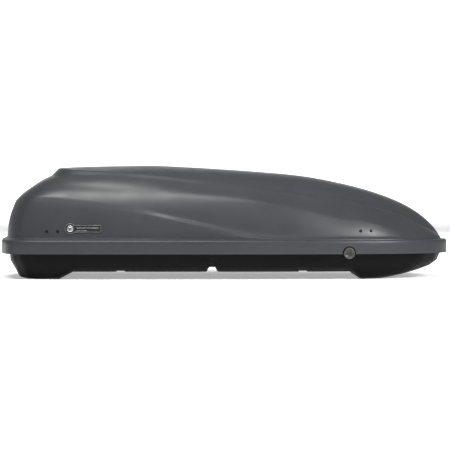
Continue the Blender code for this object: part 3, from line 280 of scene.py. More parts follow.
# ---------------------------------------------------------------- materials
class Nodes:
    """Short calls for building a material's node tree."""

    def __init__(self, name):
        self.material = bpy.data.materials.new(name)
        self.material.use_nodes = True
        self.tree = self.material.node_tree
        self.shader = self.tree.nodes["Principled BSDF"]
        self.where = self.tree.nodes.new("ShaderNodeTexCoord").outputs["Object"]

    def link(self, source, target):
        self.tree.links.new(source, target)

    def stretched(self, scale):
        node = self.tree.nodes.new("ShaderNodeMapping")
        node.inputs["Scale"].default_value = scale
        self.link(self.where, node.inputs["Vector"])
        return node.outputs["Vector"]

    def noise(self, scale, detail=3.0, roughness=0.55, where=None):
        node = self.tree.nodes.new("ShaderNodeTexNoise")
        node.inputs["Scale"].default_value = scale
        node.inputs["Detail"].default_value = detail
        node.inputs["Roughness"].default_value = roughness
        self.link(where or self.where, node.inputs["Vector"])
        return node.outputs["Fac"]

    def cells(self, scale, where=None):
        node = self.tree.nodes.new("ShaderNodeTexVoronoi")
        node.inputs["Scale"].default_value = scale
        self.link(where or self.where, node.inputs["Vector"])
        return node.outputs["Distance"]

    def wave(self, direction, scale, where=None):
        node = self.tree.nodes.new("ShaderNodeTexWave")
        node.bands_direction = direction
        node.inputs["Scale"].default_value = scale
        self.link(where or self.where, node.inputs["Vector"])
        return node.outputs["Fac"]

    def spread(self, source, low, high, from_low=0.3, from_high=0.7):
        node = self.tree.nodes.new("ShaderNodeMapRange")
        node.inputs["From Min"].default_value = from_low
        node.inputs["From Max"].default_value = from_high
        node.inputs["To Min"].default_value = low
        node.inputs["To Max"].default_value = high
        self.link(source, node.inputs["Value"])
        return node.outputs["Result"]

    def math(self, operation, a, b):
        node = self.tree.nodes.new("ShaderNodeMath")
        node.operation = operation
        for i, value in enumerate((a, b)):
            if isinstance(value, (int, float)):
                node.inputs[i].default_value = value
            else:
                self.link(value, node.inputs[i])
        return node.outputs["Value"]

    def mix(self, factor, dark, light):
        node = self.tree.nodes.new("ShaderNodeMix")
        node.data_type = "RGBA"
        for socket, value in (("A", dark), ("B", light)):
            target = [s for s in node.inputs if s.name == socket and s.type == "RGBA"][0]
            if isinstance(value, tuple):
                target.default_value = (*value, 1.0)
            else:
                self.link(value, target)
        target = [s for s in node.inputs if s.name == "Factor" and s.type == "VALUE"][0]
        if isinstance(factor, (int, float)):
            target.default_value = factor
        else:
            self.link(factor, target)
        return [s for s in node.outputs if s.type == "RGBA"][0]

    def bump(self, height, strength, distance, normal=None):
        node = self.tree.nodes.new("ShaderNodeBump")
        node.inputs["Strength"].default_value = strength
        node.inputs["Distance"].default_value = distance
        self.link(height, node.inputs["Height"])
        if normal:
            self.link(normal, node.inputs["Normal"])
        return node.outputs["Normal"]

    def edges(self, low=0.52, high=0.60):
        """0 on flat areas, 1 on outer edges."""
        geometry = self.tree.nodes.new("ShaderNodeNewGeometry")
        return self.spread(geometry.outputs["Pointiness"], 0.0, 1.0, low, high)

    def set(self, **values):
        for key, value in values.items():
            target = self.shader.inputs[key.replace("_", " ")]
            if isinstance(value, (int, float)):
                target.default_value = value
            elif isinstance(value, tuple):
                target.default_value = (*value, 1.0)
            else:
                self.link(value, target)
        return self.material


def scaled(color, factor):
    return tuple(min(c * factor, 1.0) for c in color)


def moulded_plastic(name, color, roughness, grain, depth, wear=0.25, sheen=0.5):
    """Moulded plastic: a fine pebble grain, faint mottling, dust and paler rubbed edges."""
    n = Nodes(name)
    mottle = n.spread(n.noise(5.0, 4.0), 0.0, 1.0)
    base = n.mix(mottle, scaled(color, 0.93), scaled(color, 1.07))
    dust = n.spread(n.noise(23.0, 5.0, 0.65), 0.0, 0.10, 0.52, 0.80)
    base = n.mix(dust, base, scaled(color, 1.9))
    rubbed = n.math("MULTIPLY", n.edges(), n.spread(n.noise(60.0, 4.0), 0.0, wear, 0.40, 0.72))
    base = n.mix(rubbed, base, scaled(color, 2.2))
    pebbles = n.math("ADD", n.cells(grain), n.math("MULTIPLY", n.noise(grain * 0.6, 2.0), 0.8))
    waves = n.bump(n.noise(9.0, 2.0), 0.10, 0.0006)
    normal = n.bump(pebbles, 0.35, depth, waves)
    rough = n.math("ADD", n.spread(n.noise(14.0, 5.0, 0.6), -0.04, 0.05), roughness)
    return n.set(Base_Color=base, Roughness=rough, Normal=normal, Specular_IOR_Level=sheen)


def metal(name, color, roughness, scratch=(6.0, 90.0, 90.0), depth=0.00003, blotch=0.10):
    """Bare or plated metal with drawn scratches, cloudy plating and duller patches at random."""
    n = Nodes(name)
    cloud = n.spread(n.noise(30.0, 4.0), 1.0 - blotch, 1.0)
    base = n.mix(cloud, scaled(color, 0.80), color)
    lines = n.noise(9.0, 4.0, 0.6, n.stretched(scratch))
    rough = n.math("ADD", n.spread(lines, -0.06, 0.10), roughness)
    rough = n.math("ADD", rough, n.spread(n.noise(45.0, 4.0), -0.03, 0.06))
    return n.set(Base_Color=base, Metallic=1.0, Roughness=rough, Normal=n.bump(lines, 0.25, depth))


def painted(name, color, roughness, wear=0.5, sheen=0.5):
    """Powder coat on steel: orange-peel skin and bare metal where edges rub."""
    n = Nodes(name)
    chipped = n.math("MULTIPLY", n.edges(0.54, 0.62), n.spread(n.noise(110.0, 4.0), 0.0, wear, 0.50, 0.66))
    base = n.mix(chipped, n.mix(n.noise(8.0), scaled(color, 0.85), scaled(color, 1.15)), (0.42, 0.42, 0.43))
    rough = n.math("ADD", n.spread(n.noise(25.0, 4.0), -0.05, 0.07), roughness)
    skin = n.bump(n.noise(700.0, 2.0), 0.30, 0.00012)
    return n.set(Base_Color=base, Metallic=chipped, Roughness=rough, Normal=skin, Specular_IOR_Level=sheen)


def webbing(name, color):
    """Woven strap: ribs across the strap and threads along it."""
    n = Nodes(name)
    ribs = n.wave("Y", 260.0)
    threads = n.wave("X", 420.0)
    weave = n.math("ADD", n.math("MULTIPLY", ribs, 0.65), n.math("MULTIPLY", threads, 0.35))
    fuzz = n.noise(900.0, 3.0)
    base = n.mix(weave, scaled(color, 0.55), scaled(color, 1.35))
    base = n.mix(n.spread(n.noise(40.0, 4.0), 0.0, 0.25), base, scaled(color, 1.8))
    normal = n.bump(weave, 0.6, 0.0004, n.bump(fuzz, 0.25, 0.0002))
    return n.set(Base_Color=base, Roughness=0.88, Normal=normal, Sheen_Weight=0.25)


LID_GREY = (0.0275, 0.0287, 0.0318)
TRAY_BLACK = (0.0022, 0.0022, 0.0024)


def make_materials():
    return {
        "lid_plastic": moulded_plastic("lid_plastic", LID_GREY, 0.36, 1100.0, 0.00005, wear=0.12, sheen=0.24),
        "tray_plastic": moulded_plastic(
            "tray_plastic", TRAY_BLACK, 0.50, 800.0, 0.00012, wear=0.30, sheen=0.08),
        "zinc_steel": metal("zinc_steel", (0.62, 0.63, 0.65), 0.30),
        "worn_zinc": metal("worn_zinc", (0.060, 0.058, 0.060), 0.45),
        "lock_ring_plastic": moulded_plastic(
            "lock_ring_plastic", (0.034, 0.033, 0.034), 0.30, 1500.0, 0.00003),
        "badge_plastic": moulded_plastic(
            "badge_plastic", (0.002, 0.002, 0.0023), 0.42, 2000.0, 0.00001, wear=0.1),
        "black_steel": painted("black_steel", (0.0025, 0.0025, 0.0028), 0.55, wear=0.2, sheen=0.15),
        "strut_paint": painted("strut_paint", (0.012, 0.012, 0.013), 0.22, wear=0.25),
        "strut_rod_chrome": metal(
            "strut_rod_chrome", (0.80, 0.81, 0.83), 0.10, (90.0, 6.0, 6.0), 0.00001, 0.05),
        "strap_webbing": webbing("strap_webbing", (0.028, 0.028, 0.031)),
        "silver_trim": metal("silver_trim", (0.72, 0.73, 0.75), 0.22, (3.0, 120.0, 120.0), 0.00001, 0.05),
    }


# ---------------------------------------------------------------- plan outlines
class Loop:
    """A closed line round the box. From above it is two half superellipses that meet at WIDEST_X."""

    def __init__(self, tail, nose, half, height, nose_power=NOSE_POWER, tail_power=TAIL_POWER, crease=None,
                 pull=None):
        self.tail, self.nose, self.half = tail, nose, half
        self.pull = pull or (lambda x: 0.0)
        self.height = height if callable(height) else lambda x: height
        self.nose_power, self.tail_power = nose_power, tail_power
        self.crease = crease if callable(crease) else lambda x: crease or 0.0

    def reach(self, x):
        if x < WIDEST_X:
            return WIDEST_X - self.tail, self.tail_power
        return self.nose - WIDEST_X, self.nose_power

    def half_width(self, x):
        length, power = self.reach(x)
        share = min(abs(x - WIDEST_X) / length, 1.0)
        return self.half * (1 - share**power) ** (1 / power)

    def corner(self, side):
        """Where the outline turns from the flank to the tail (side -1) or the nose (side 1)."""
        length, power = self.reach(WIDEST_X + side * 1e-6)
        return WIDEST_X + side * length * 2 ** (-1 / power), self.half * 2 ** (-1 / power)

    def end_x(self, y, side):
        length, power = self.reach(WIDEST_X + side * 1e-6)
        return WIDEST_X + side * length * (1 - min(abs(y) / self.half, 1.0) ** power) ** (1 / power)

    def bow(self, x, y):
        """The tail's outline isn't flat: it curves forward on both sides of the middle."""
        toward_tail = min(max((WIDEST_X - x) / (WIDEST_X - self.tail), 0.0), 1.0)
        return x + TAIL_BOW * (2 * abs(y) / WIDTH) ** 1.3 * toward_tail**TAIL_BOW_REACH

    def points(self, rows, columns):
        """Points in order: flank at -Y tail to nose, the nose, flank at +Y nose to tail, the tail."""
        tail_x, tail_y = self.corner(-1)
        nose_x, nose_y = self.corner(1)
        stations = [tail_x, *rows(tail_x, nose_x), nose_x]
        widths = [tail_y, *(self.half_width(x) for x in stations[1:-1]), nose_y]
        across = columns[1:-1]
        flat = [(x, -w) for x, w in zip(stations, widths)]
        flat += [(self.end_x(f * nose_y, 1), f * nose_y) for f in across]
        flat += [(x, w) for x, w in zip(reversed(stations), reversed(widths))]
        flat += [(self.end_x(f * tail_y, -1), f * tail_y) for f in reversed(across)]
        bowed = [(self.bow(x, y), y * (1 - self.pull(x) / self.half)) for x, y in flat]
        return np.array([(x, y, self.height(x)) for x, y in bowed])


def skirt_loop(inset, height, crease=None, pull=None):
    return Loop(-LENGTH / 2 + inset, LENGTH / 2 - inset, WIDTH / 2 - inset, height, crease=crease, pull=pull)


def bands(rings):
    count = len(rings[0])
    faces = []
    for r in range(len(rings) - 1):
        for i in range(count):
            j = (i + 1) % count
            faces.append([r * count + i, r * count + j, (r + 1) * count + j, (r + 1) * count + i])
    return faces


def cap(ring, first, rows, columns, surface, place, bend):
    """Fills a ring with a grid. `first` is the index of the ring's first point.

    place(share, width) gives the Y of a column; bend(distance, side) how far a row follows the end's curve.
    """
    n, m = rows + 1, len(columns) - 1
    total = len(ring)
    near = [first + i for i in range(n + 1)]
    nose = [first + n + k for k in range(m + 1)]
    far = [first + n + m + n - i for i in range(n + 1)]
    tail = [first] + [first + total - k for k in range(1, m)] + [first + n + m + n]
    at = lambda index: ring[index - first]
    index, points = {}, []
    for i in range(n + 1):
        index[i, 0], index[i, m] = near[i], far[i]
    for k in range(m + 1):
        index[0, k], index[n, k] = tail[k], nose[k]
    x0, x1 = at(near[0])[0], at(near[n])[0]
    for i in range(1, n):
        x, width = at(near[i])[0], abs(at(near[i])[1])
        to_tail, to_nose = bend(x - x0, -1), bend(x1 - x, 1)
        for k in range(1, m):
            px = x + to_tail * (at(tail[k])[0] - x0) + to_nose * (at(nose[k])[0] - x1)
            py = place(columns[k], width)
            index[i, k] = first + total + len(points)
            points.append((px, py, surface(px, py)))
    faces = []
    for i in range(n):
        for k in range(m):
            faces.append([index[i, k], index[i + 1, k], index[i + 1, k + 1], index[i, k + 1]])
    return points, faces


def smooth_shell(name, points, faces, creases, thickness, up, material, levels=2):
    """A subdivided thin shell. `creases` maps an edge's two point indices to its crease."""
    obj = new_object(name, points, faces, material, weld=False)
    mesh = obj.data
    total = sum(p.normal.z * p.area for p in mesh.polygons)
    if (total > 0) != up:
        mesh.flip_normals()
    layer = mesh.attributes.new("crease_edge", "FLOAT", "EDGE")
    for edge in mesh.edges:
        layer.data[edge.index].value = creases.get(tuple(sorted(edge.vertices)), 0.0)
    subdivide = obj.modifiers.new("smooth", "SUBSURF")
    subdivide.levels = subdivide.render_levels = levels
    wall = obj.modifiers.new("wall", "SOLIDIFY")
    wall.thickness = thickness
    wall.offset = -1.0
    wall.use_even_offset = True
    return bake(obj)


# ---------------------------------------------------------------- lid shell
crown = curve_through([
    (-0.676, 0.4410), (-0.60, 0.4460), (-0.45, 0.4500), (-0.30, 0.4515), (-0.10, 0.4430), (0.10, 0.4300),
    (0.30, 0.4125), (0.50, 0.3755), (0.65, 0.3318), (0.76, 0.2828), (0.83, 0.2320), (0.862, 0.1990),
    (0.878, 0.1745),
])
flange_root = curve_through([
    (-0.885, 0.1640), (-0.50, 0.1650), (0.0, 0.1600), (0.30, 0.1560), (0.45, 0.1540), (0.885, 0.1550),
])
belt = curve_through([
    (-0.850, 0.3110), (-0.756, 0.3080), (-0.53, 0.2857), (-0.288, 0.2527), (-0.09, 0.2155), (0.10, 0.1745),
    (0.22, 0.1640), (0.884, 0.1590),
])
ledge = curve_through([
    (-0.838, 0.3225), (-0.725, 0.3280), (-0.56, 0.3118), (-0.385, 0.2898), (-0.288, 0.2698), (-0.19, 0.2460),
    (-0.09, 0.2231), (0.10, 0.1831), (0.22, 0.1710), (0.8835, 0.1610),
])
shoulder = curve_through([
    (-0.785, 0.3645), (-0.70, 0.3720), (-0.56, 0.3660), (-0.385, 0.3540), (-0.288, 0.3460), (-0.09, 0.3300),
    (0.05, 0.3170), (0.30, 0.2780), (0.444, 0.2443), (0.598, 0.2210), (0.679, 0.1960), (0.785, 0.1720),
    (0.8815, 0.1650),
])
step_foot = curve_through([
    (-0.704, 0.4116), (-0.64, 0.4087), (-0.49, 0.4101), (-0.292, 0.3971), (-0.094, 0.3749), (0.104, 0.3595),
    (0.302, 0.3354), (0.481, 0.3065), (0.70, 0.2516), (0.80, 0.2082), (0.880, 0.1700),
])
panel_edge = curve_through([
    (-0.676, 0.4410), (-0.569, 0.4300), (-0.49, 0.4268), (-0.292, 0.4144), (-0.094, 0.3909), (0.104, 0.3653),
    (0.302, 0.3393), (0.481, 0.3107), (0.70, 0.2564), (0.80, 0.2120), (0.878, 0.1745),
])


def fade_forward(strength, start, end):
    """A crease that is full behind `start` and gone in front of `end`."""
    return lambda x: strength * (1 - ease(x, start, end))


def lid_loops():
    """The lid's feature lines, from the skirt's bottom edge to the edge of the raised top panel."""
    wall_middle = lambda x: 0.5 * (flange_root(x) + belt(x))
    belt_crease = fade_forward(0.92, -0.05, 0.35)
    ledge_crease = fade_forward(0.75, -0.30, 0.05)
    shoulder_crease = lambda x: 0.55 * ease(x, -0.05, 0.20)
    lean = lambda x: 0.014 * (1 - ease(x, -0.60, 0.10))
    groove = lambda x: 0.0045 * ease(x, 0.05, 0.35)
    return [
        skirt_loop(0.0, SKIRT_BOTTOM, crease=1.0),
        skirt_loop(0.0, SKIRT_TOP - 0.0060, crease=0.30),
        skirt_loop(0.006, SKIRT_TOP, crease=0.30),
        skirt_loop(FLANGE, flange_root, 0.80, groove),
        Loop(-0.881, 0.8845, 0.3750, wall_middle, pull=lambda x: 0.3 * lean(x) + groove(x)),
        Loop(-0.850, 0.8840, 0.3690, belt, tail_power=7.0, crease=belt_crease, pull=lean),
        Loop(-0.838, 0.8835, 0.3610, ledge, tail_power=7.0, crease=ledge_crease, pull=lean),
        Loop(-0.785, 0.8815, 0.3250, shoulder, 3.15, 6.5, shoulder_crease, lambda x: 0.9 * lean(x)),
        Loop(-0.704, 0.8800, 0.2750, step_foot, 2.35, 6.0, crease=fade_forward(0.85, -0.15, 0.25)),
        Loop(-0.676, 0.8780, 0.2620, panel_edge, 2.25, 6.0, crease=fade_forward(0.75, -0.25, 0.20)),
    ]


BULGE = {"tail": 0.04, "flank": 0.035, "nose": 0.03}
BULGED_BANDS = (7, 6)  # between the ledge, the shoulder and the foot of the step, the upper one first
BULGE_SHARES = (0.33, 0.67)


def bulged_rings(low, high, shares):
    """Rings between two rings, swollen at right angles to the straight line from one to the other."""
    chord = high - low
    length = np.linalg.norm(chord, axis=1, keepdims=True)
    outward = low.copy()
    outward[:, 0] = (low[:, 0] - WIDEST_X) / LENGTH
    outward[:, 1] /= WIDTH
    outward[:, 2] = 0.0
    outward = np.sign(outward) * np.abs(outward) ** 3
    outward /= np.linalg.norm(outward, axis=1, keepdims=True)
    along = chord / length
    swell = outward + np.array([0, 0, 1.0])
    swell -= (swell * along).sum(1, keepdims=True) * along
    swell /= np.linalg.norm(swell, axis=1, keepdims=True)
    side = np.abs(outward[:, 1:2])
    end = np.where(low[:, :1] < WIDEST_X, BULGE["tail"], BULGE["nose"])
    amount = side * BULGE["flank"] + (1 - side) * end
    return [low + t * chord + 4 * t * (1 - t) * amount * length * swell for t in shares]


def panel_height(edge_loop):
    """The raised top panel: highest along the middle, down to its edge on each side."""

    def height(x, y):
        width = max(edge_loop.half_width(x), 1e-4)
        return crown(x) - (crown(x) - panel_edge(x)) * min(abs(y) / width, 1.0) ** 2.2

    return height


def dense(count, power):
    """Shares from 0 to 1, closer together towards both ends."""
    result = []
    for i in range(1, count + 1):
        t = 2 * i / (count + 1) - 1
        result.append(0.5 + 0.5 * math.copysign(1 - (1 - abs(t)) ** power, t))
    return result


LID_ROWS = dense(46, 1.5)
HALF_COLUMNS = [0.06, 0.19, 0.33, 0.47, 0.60, 0.71, 0.80, 0.87, 0.93, 0.97]
LID_COLUMNS = [-1.0, *(-c for c in reversed(HALF_COLUMNS)), 0.0, *HALF_COLUMNS, 1.0]


def make_lid(material):
    rows = lambda a, b: [a + (b - a) * share for share in LID_ROWS]
    even = lambda share, width: share * width
    bend = lambda distance, side: max(0.0, 1 - distance / 0.5) ** 2
    loops = lid_loops()
    rings = [loop.points(rows, LID_COLUMNS) for loop in loops]
    creases = [loop.crease for loop in loops]
    for band in BULGED_BANDS:
        rings[band + 1 : band + 1] = bulged_rings(rings[band], rings[band + 1], BULGE_SHARES)
        creases[band + 1 : band + 1] = [lambda x: 0.0] * len(BULGE_SHARES)
    count = len(rings[0])
    marked = {}
    for r, (ring, crease) in enumerate(zip(rings, creases)):
        for i in range(count):
            j = (i + 1) % count
            key = tuple(sorted((r * count + i, r * count + j)))
            marked[key] = crease(0.5 * (ring[i][0] + ring[j][0]))
    faces = bands(rings)
    first = (len(rings) - 1) * count
    surface = panel_height(loops[-1])
    more, cap_faces = cap(rings[-1], first, len(LID_ROWS), LID_COLUMNS, surface, even, bend)
    points = [tuple(p) for ring in rings for p in ring] + more
    lid = smooth_shell("lid_skin", points, faces + cap_faces, marked, LID_WALL, True, material)
    arch = prism("arch", circle((LOCK_X, LOCK_Z), ARCH_R, 48), "y", -0.42, -0.345, material)
    return combine(lid, "DIFFERENCE", arch)


# ---------------------------------------------------------------- tray shell
belly = curve_through([
    (-0.900, 0.0950), (-0.868, 0.0520), (-0.850, 0.0310), (-0.8356, 0.0215), (-0.815, 0.0110),
    (-0.795, 0.0040), (-0.765, 0.0), (-0.652, 0.0), (-0.596, FLOOR_Z), (0.507, FLOOR_Z), (0.541, 0.0),
    (0.611, 0.0), (0.650, 0.0045), (0.694, 0.0122), (0.7556, 0.0237), (0.7987, 0.0356), (0.842, 0.0503),
    (0.900, 0.0780),
])
TRAY_STATIONS = [
    -0.72, -0.690, -0.652, -0.596, -0.570, GROOVE_ENDS[0], CLAMP_X[0] - SEAT_FOOT, CLAMP_X[0] - SEAT_TOP,
    CLAMP_X[0] + SEAT_TOP, CLAMP_X[0] + SEAT_FOOT, -0.25, -0.15, CHANNEL_X - CHANNEL_FOOT,
    CHANNEL_X - CHANNEL_TOP, CHANNEL_X + CHANNEL_TOP, CHANNEL_X + CHANNEL_FOOT, 0.09, 0.20,
    CLAMP_X[1] - SEAT_FOOT, CLAMP_X[1] - SEAT_TOP, CLAMP_X[1] + SEAT_TOP, CLAMP_X[1] + SEAT_FOOT, 0.39,
    GROOVE_ENDS[1], 0.445, 0.476, 0.507, 0.541, 0.5567, 0.5637, 0.5715, 0.5785,
]
GROOVE_LINES = [GROOVE_Y - GROOVE_FOOT, GROOVE_Y - GROOVE_TOP, GROOVE_Y + GROOVE_TOP, GROOVE_Y + GROOVE_FOOT]
SHARP_ANGLE, TRAY_CREASE = 18.0, 0.80


def trapezoid(distance, top, foot):
    return min(max((foot - abs(distance)) / (foot - top), 0.0), 1.0)


def cross_relief(x):
    """How far the floor is raised at a station, across its whole width."""
    channel = CHANNEL_DEPTH * trapezoid(x - CHANNEL_X, CHANNEL_TOP, CHANNEL_FOOT)
    return max(channel, *(SEAT_DEPTH * trapezoid(x - c, SEAT_TOP, SEAT_FOOT) for c in CLAMP_X))


def floor_height(x, y):
    run = min(max((x - GROOVE_ENDS[0]) / 0.015 + 1, 0), max((GROOVE_ENDS[1] - x) / 0.015 + 1, 0), 1)
    groove = run * GROOVE_DEPTH * trapezoid(abs(y) - GROOVE_Y, GROOVE_TOP, GROOVE_FOOT)
    return belly(x) + max(groove, cross_relief(x))


def tray_loops():
    middle = lambda x: min(max((0.80 - abs(x)) / 0.15, 0.0), 1.0)
    edge = lambda x: belly(x) + cross_relief(x) + 0.008 * middle(x)
    return [
        skirt_loop(RIM_GAP, RIM_Z - RIM_LIP),
        skirt_loop(RIM_GAP, RIM_Z),
        skirt_loop(TRAY_INSET, RIM_Z),
        Loop(-0.8770, 0.8840, 0.3630, 0.100),
        Loop(-0.8735, 0.8710, 0.3570, lambda x: max(0.070, edge(x) + 0.026 * middle(x))),
        Loop(-0.8600, 0.8450, 0.3480, lambda x: max(0.047, edge(x) + 0.012 * middle(x))),
        Loop(-0.8440, 0.8080, 0.3320, edge),
        Loop(-0.8120, 0.7700, FLOOR_HALF, lambda x: belly(x) + cross_relief(x)),
    ]


def straight(share, width):
    """Keeps the groove's lines straight where the floor is wide enough, then follows the nose."""
    end = tray_loops()[-1].corner(1)[1]
    held = min(max((width - end) / (0.275 - end), 0.0), 1.0)
    return share * (held * FLOOR_HALF + (1 - held) * end)


def floor_bend(distance, side):
    return max(0.0, 1 - distance / (0.040 if side > 0 else 0.066))


def sharp_edges(points, faces):
    """Creases for the edges where two faces meet at more than SHARP_ANGLE."""
    bm = bmesh.new()
    vertices = [bm.verts.new(p) for p in points]
    for face in faces:
        bm.faces.new([vertices[i] for i in face])
    bm.verts.index_update()
    bmesh.ops.recalc_face_normals(bm, faces=bm.faces)
    marked = {}
    for edge in bm.edges:
        key = tuple(sorted(v.index for v in edge.verts))
        if edge.is_boundary:
            marked[key] = 1.0
        elif math.degrees(edge.calc_face_angle(0.0)) > SHARP_ANGLE:
            marked[key] = TRAY_CREASE
    bm.free()
    return marked


def make_tray(material):
    lines = [0.09, 0.17, *GROOVE_LINES]
    shares = [line / FLOOR_HALF for line in lines]
    columns = [-1.0, *(-s for s in reversed(shares)), 0.0, *shares, 1.0]
    rings = [loop.points(lambda a, b: TRAY_STATIONS, columns) for loop in tray_loops()]
    faces = bands(rings)
    first = (len(rings) - 1) * len(rings[0])
    more, cap_faces = cap(rings[-1], first, len(TRAY_STATIONS), columns, floor_height, straight, floor_bend)
    points = [tuple(p) for ring in rings for p in ring] + more
    faces += cap_faces
    tray = smooth_shell("tray_skin", points, faces, sharp_edges(points, faces), TRAY_WALL, False, material)
    boss_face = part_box("lock_housing")[0][1] + 0.0064
    boss = prism("boss", circle((LOCK_X, LOCK_Z), 0.0240, 64), "y", boss_face, -0.3215, material)
    combine(tray, "UNION", boss)
    cuts = [prism("hole", circle((LOCK_X, LOCK_Z), BARREL_R + 0.0004, 48), "y", -0.40, -0.30, material)]
    for station in CLAMP_X:
        for side in (-1, 1):
            for leg in (-1, 1):
                start, end = sorted((station + leg * 0.018, station + leg * 0.062))
                outline = stadium((start, side * GROOVE_Y), (end, side * GROOVE_Y), 0.0055)
                cuts.append(prism("slot", outline, "z", 0.035, 0.070, material))
    return combine(tray, "DIFFERENCE", *cuts)


# ---------------------------------------------------------------- small pieces
def badge_outline(inset=0.0):
    """A bar with one round end that is wider than the bar."""
    radius, bar, corner = BADGE_END_R - inset, BADGE_BAR_HALF - inset, max(BADGE_CORNER_R - inset, 0.0008)
    turn = math.degrees(math.asin(bar / radius))
    corner_x, corner_y = BADGE_HALF - inset - corner, bar - corner
    outline = circle((BADGE_END_R - BADGE_HALF, 0.0), radius, 49, turn, 360 - turn)
    outline += circle((corner_x, -corner_y), corner, 9, -90, 0)
    return outline + circle((corner_x, corner_y), corner, 9, 0, 90)


def make_badge(lid_tree, m):
    """A blank name plate: gloss black, a silver outline, a plain silver disc and plain lines."""
    on_wall = on_near_wall(lid_tree, "badge_plate")
    ring = lambda inset, h: [(x, y, h) for x, y in badge_outline(inset)]
    plate = loft("badge", [ring(0.0, 0.0004), ring(0.0, 0.0026), ring(0.0006, 0.0032)], m["badge_plastic"])
    edge = [ring(0.0009, 0.0030), ring(0.0009, 0.0037), ring(0.0024, 0.0037), ring(0.0024, 0.0030)]
    trim = [loft("badge_outline", edge, m["silver_trim"], closed=True)]
    dome = [
        (0.0036, 0.0030), (0.0036, 0.0038), (0.0060, 0.0043), (0.0100, 0.0043), (0.0124, 0.0038),
        (0.0124, 0.0030),
    ]
    disc = turned("badge_disc", rounded_profile(dome, 0.0003), 64, m["silver_trim"])
    trim.append(move(disc, Matrix.Translation((BADGE_END_R - BADGE_HALF, 0.0, 0.0))))
    lines = {"line": (-0.0230, 0.0600, 0.0030, 0.0016), "short": (-0.0230, 0.0150, -0.0072, 0.0008)}
    for name, (start, end, y, half) in lines.items():
        outline = stadium((start, y), (end, y), half)
        trim.append(prism(f"badge_{name}", outline, "z", 0.0028, 0.0036, m["silver_trim"]))
    for piece in (plate, *trim):
        move(piece, on_wall)
    stand_for(plate, "badge_plate")
    for piece in trim:
        go_with(piece, "badge_plate")


def make_rivets(lid_tree, m):
    """Domed heads of the blind rivets, with the broken stem in the middle."""
    for i in range(1, 5):
        node = f"catch_rivet_{i}"
        profile = [
            (0.0001, -0.0120), (0.0025, -0.0120), (0.0025, -0.0010), (0.0060, 0.0000), (0.0061, 0.0004),
        ]
        for step in range(7):
            angle = math.radians(15 * step)
            profile.append((0.0016 + 0.0043 * math.cos(angle), 0.0006 + 0.0017 * math.sin(angle)))
        profile += [(0.0013, 0.0017), (0.0011, 0.0012), (0.0001, 0.0012)]
        rivet = turned(node + "_fine", profile, 32, m["black_steel"], closed=False)
        stand_for(move(rivet, on_near_wall(lid_tree, node)), node)


def make_lock(m):
    """The lock's ring and barrel, and the key cylinder with its keyway."""
    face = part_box("lock_housing")[0][1]
    place = Matrix.Translation((LOCK_X, face, LOCK_Z)) @ Matrix.Rotation(math.radians(-90), 4, "X")
    ring = [
        (0.0100, 0.0058), (0.0112, 0.0048), (0.0166, 0.0036), (0.0178, 0.0), (0.0206, 0.0),
        (0.0225, 0.0020), (0.0225, 0.0080), (0.0155, 0.0080), (0.0155, 0.0560), (0.0100, 0.0560),
    ]
    housing = turned("lock_ring", rounded_profile(ring, 0.0009), 72, m["lock_ring_plastic"])
    stand_for(move(housing, place), "lock_housing")
    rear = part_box("lock_cylinder")[1][1] - face
    core = [(0.0001, 0.0036), (0.0086, 0.0036), (0.0095, 0.0044), (0.0095, rear), (0.0001, rear)]
    cylinder = turned("key_cylinder", core, 48, m["worn_zinc"], closed=False)
    slit = stadium((-0.0040, 0.0), (0.0040, 0.0), 0.0009)
    keyway = prism("keyway", slit, "z", -0.01, 0.014, m["black_steel"])
    combine(cylinder, "DIFFERENCE", keyway)
    stand_for(move(cylinder, place), "lock_cylinder")


def strut_matrix(end):
    foot = Vector(JOINTS[f"strut_swing_{end}"]["pos_m"])
    along = Vector(JOINTS[f"strut_extend_{end}"]["axis"])
    return Matrix.Translation(foot) @ Matrix.Rotation(math.atan2(along.z, along.y) - math.pi / 2, 4, "X")


def strut_reach(end, node):
    """Lowest and highest place of a strut piece along the strut, from the foot pivot."""
    back = strut_matrix(end).inverted()
    heights = [(back @ v.co).z for v in frame["nodes"][node].data.vertices]
    return min(heights), max(heights)


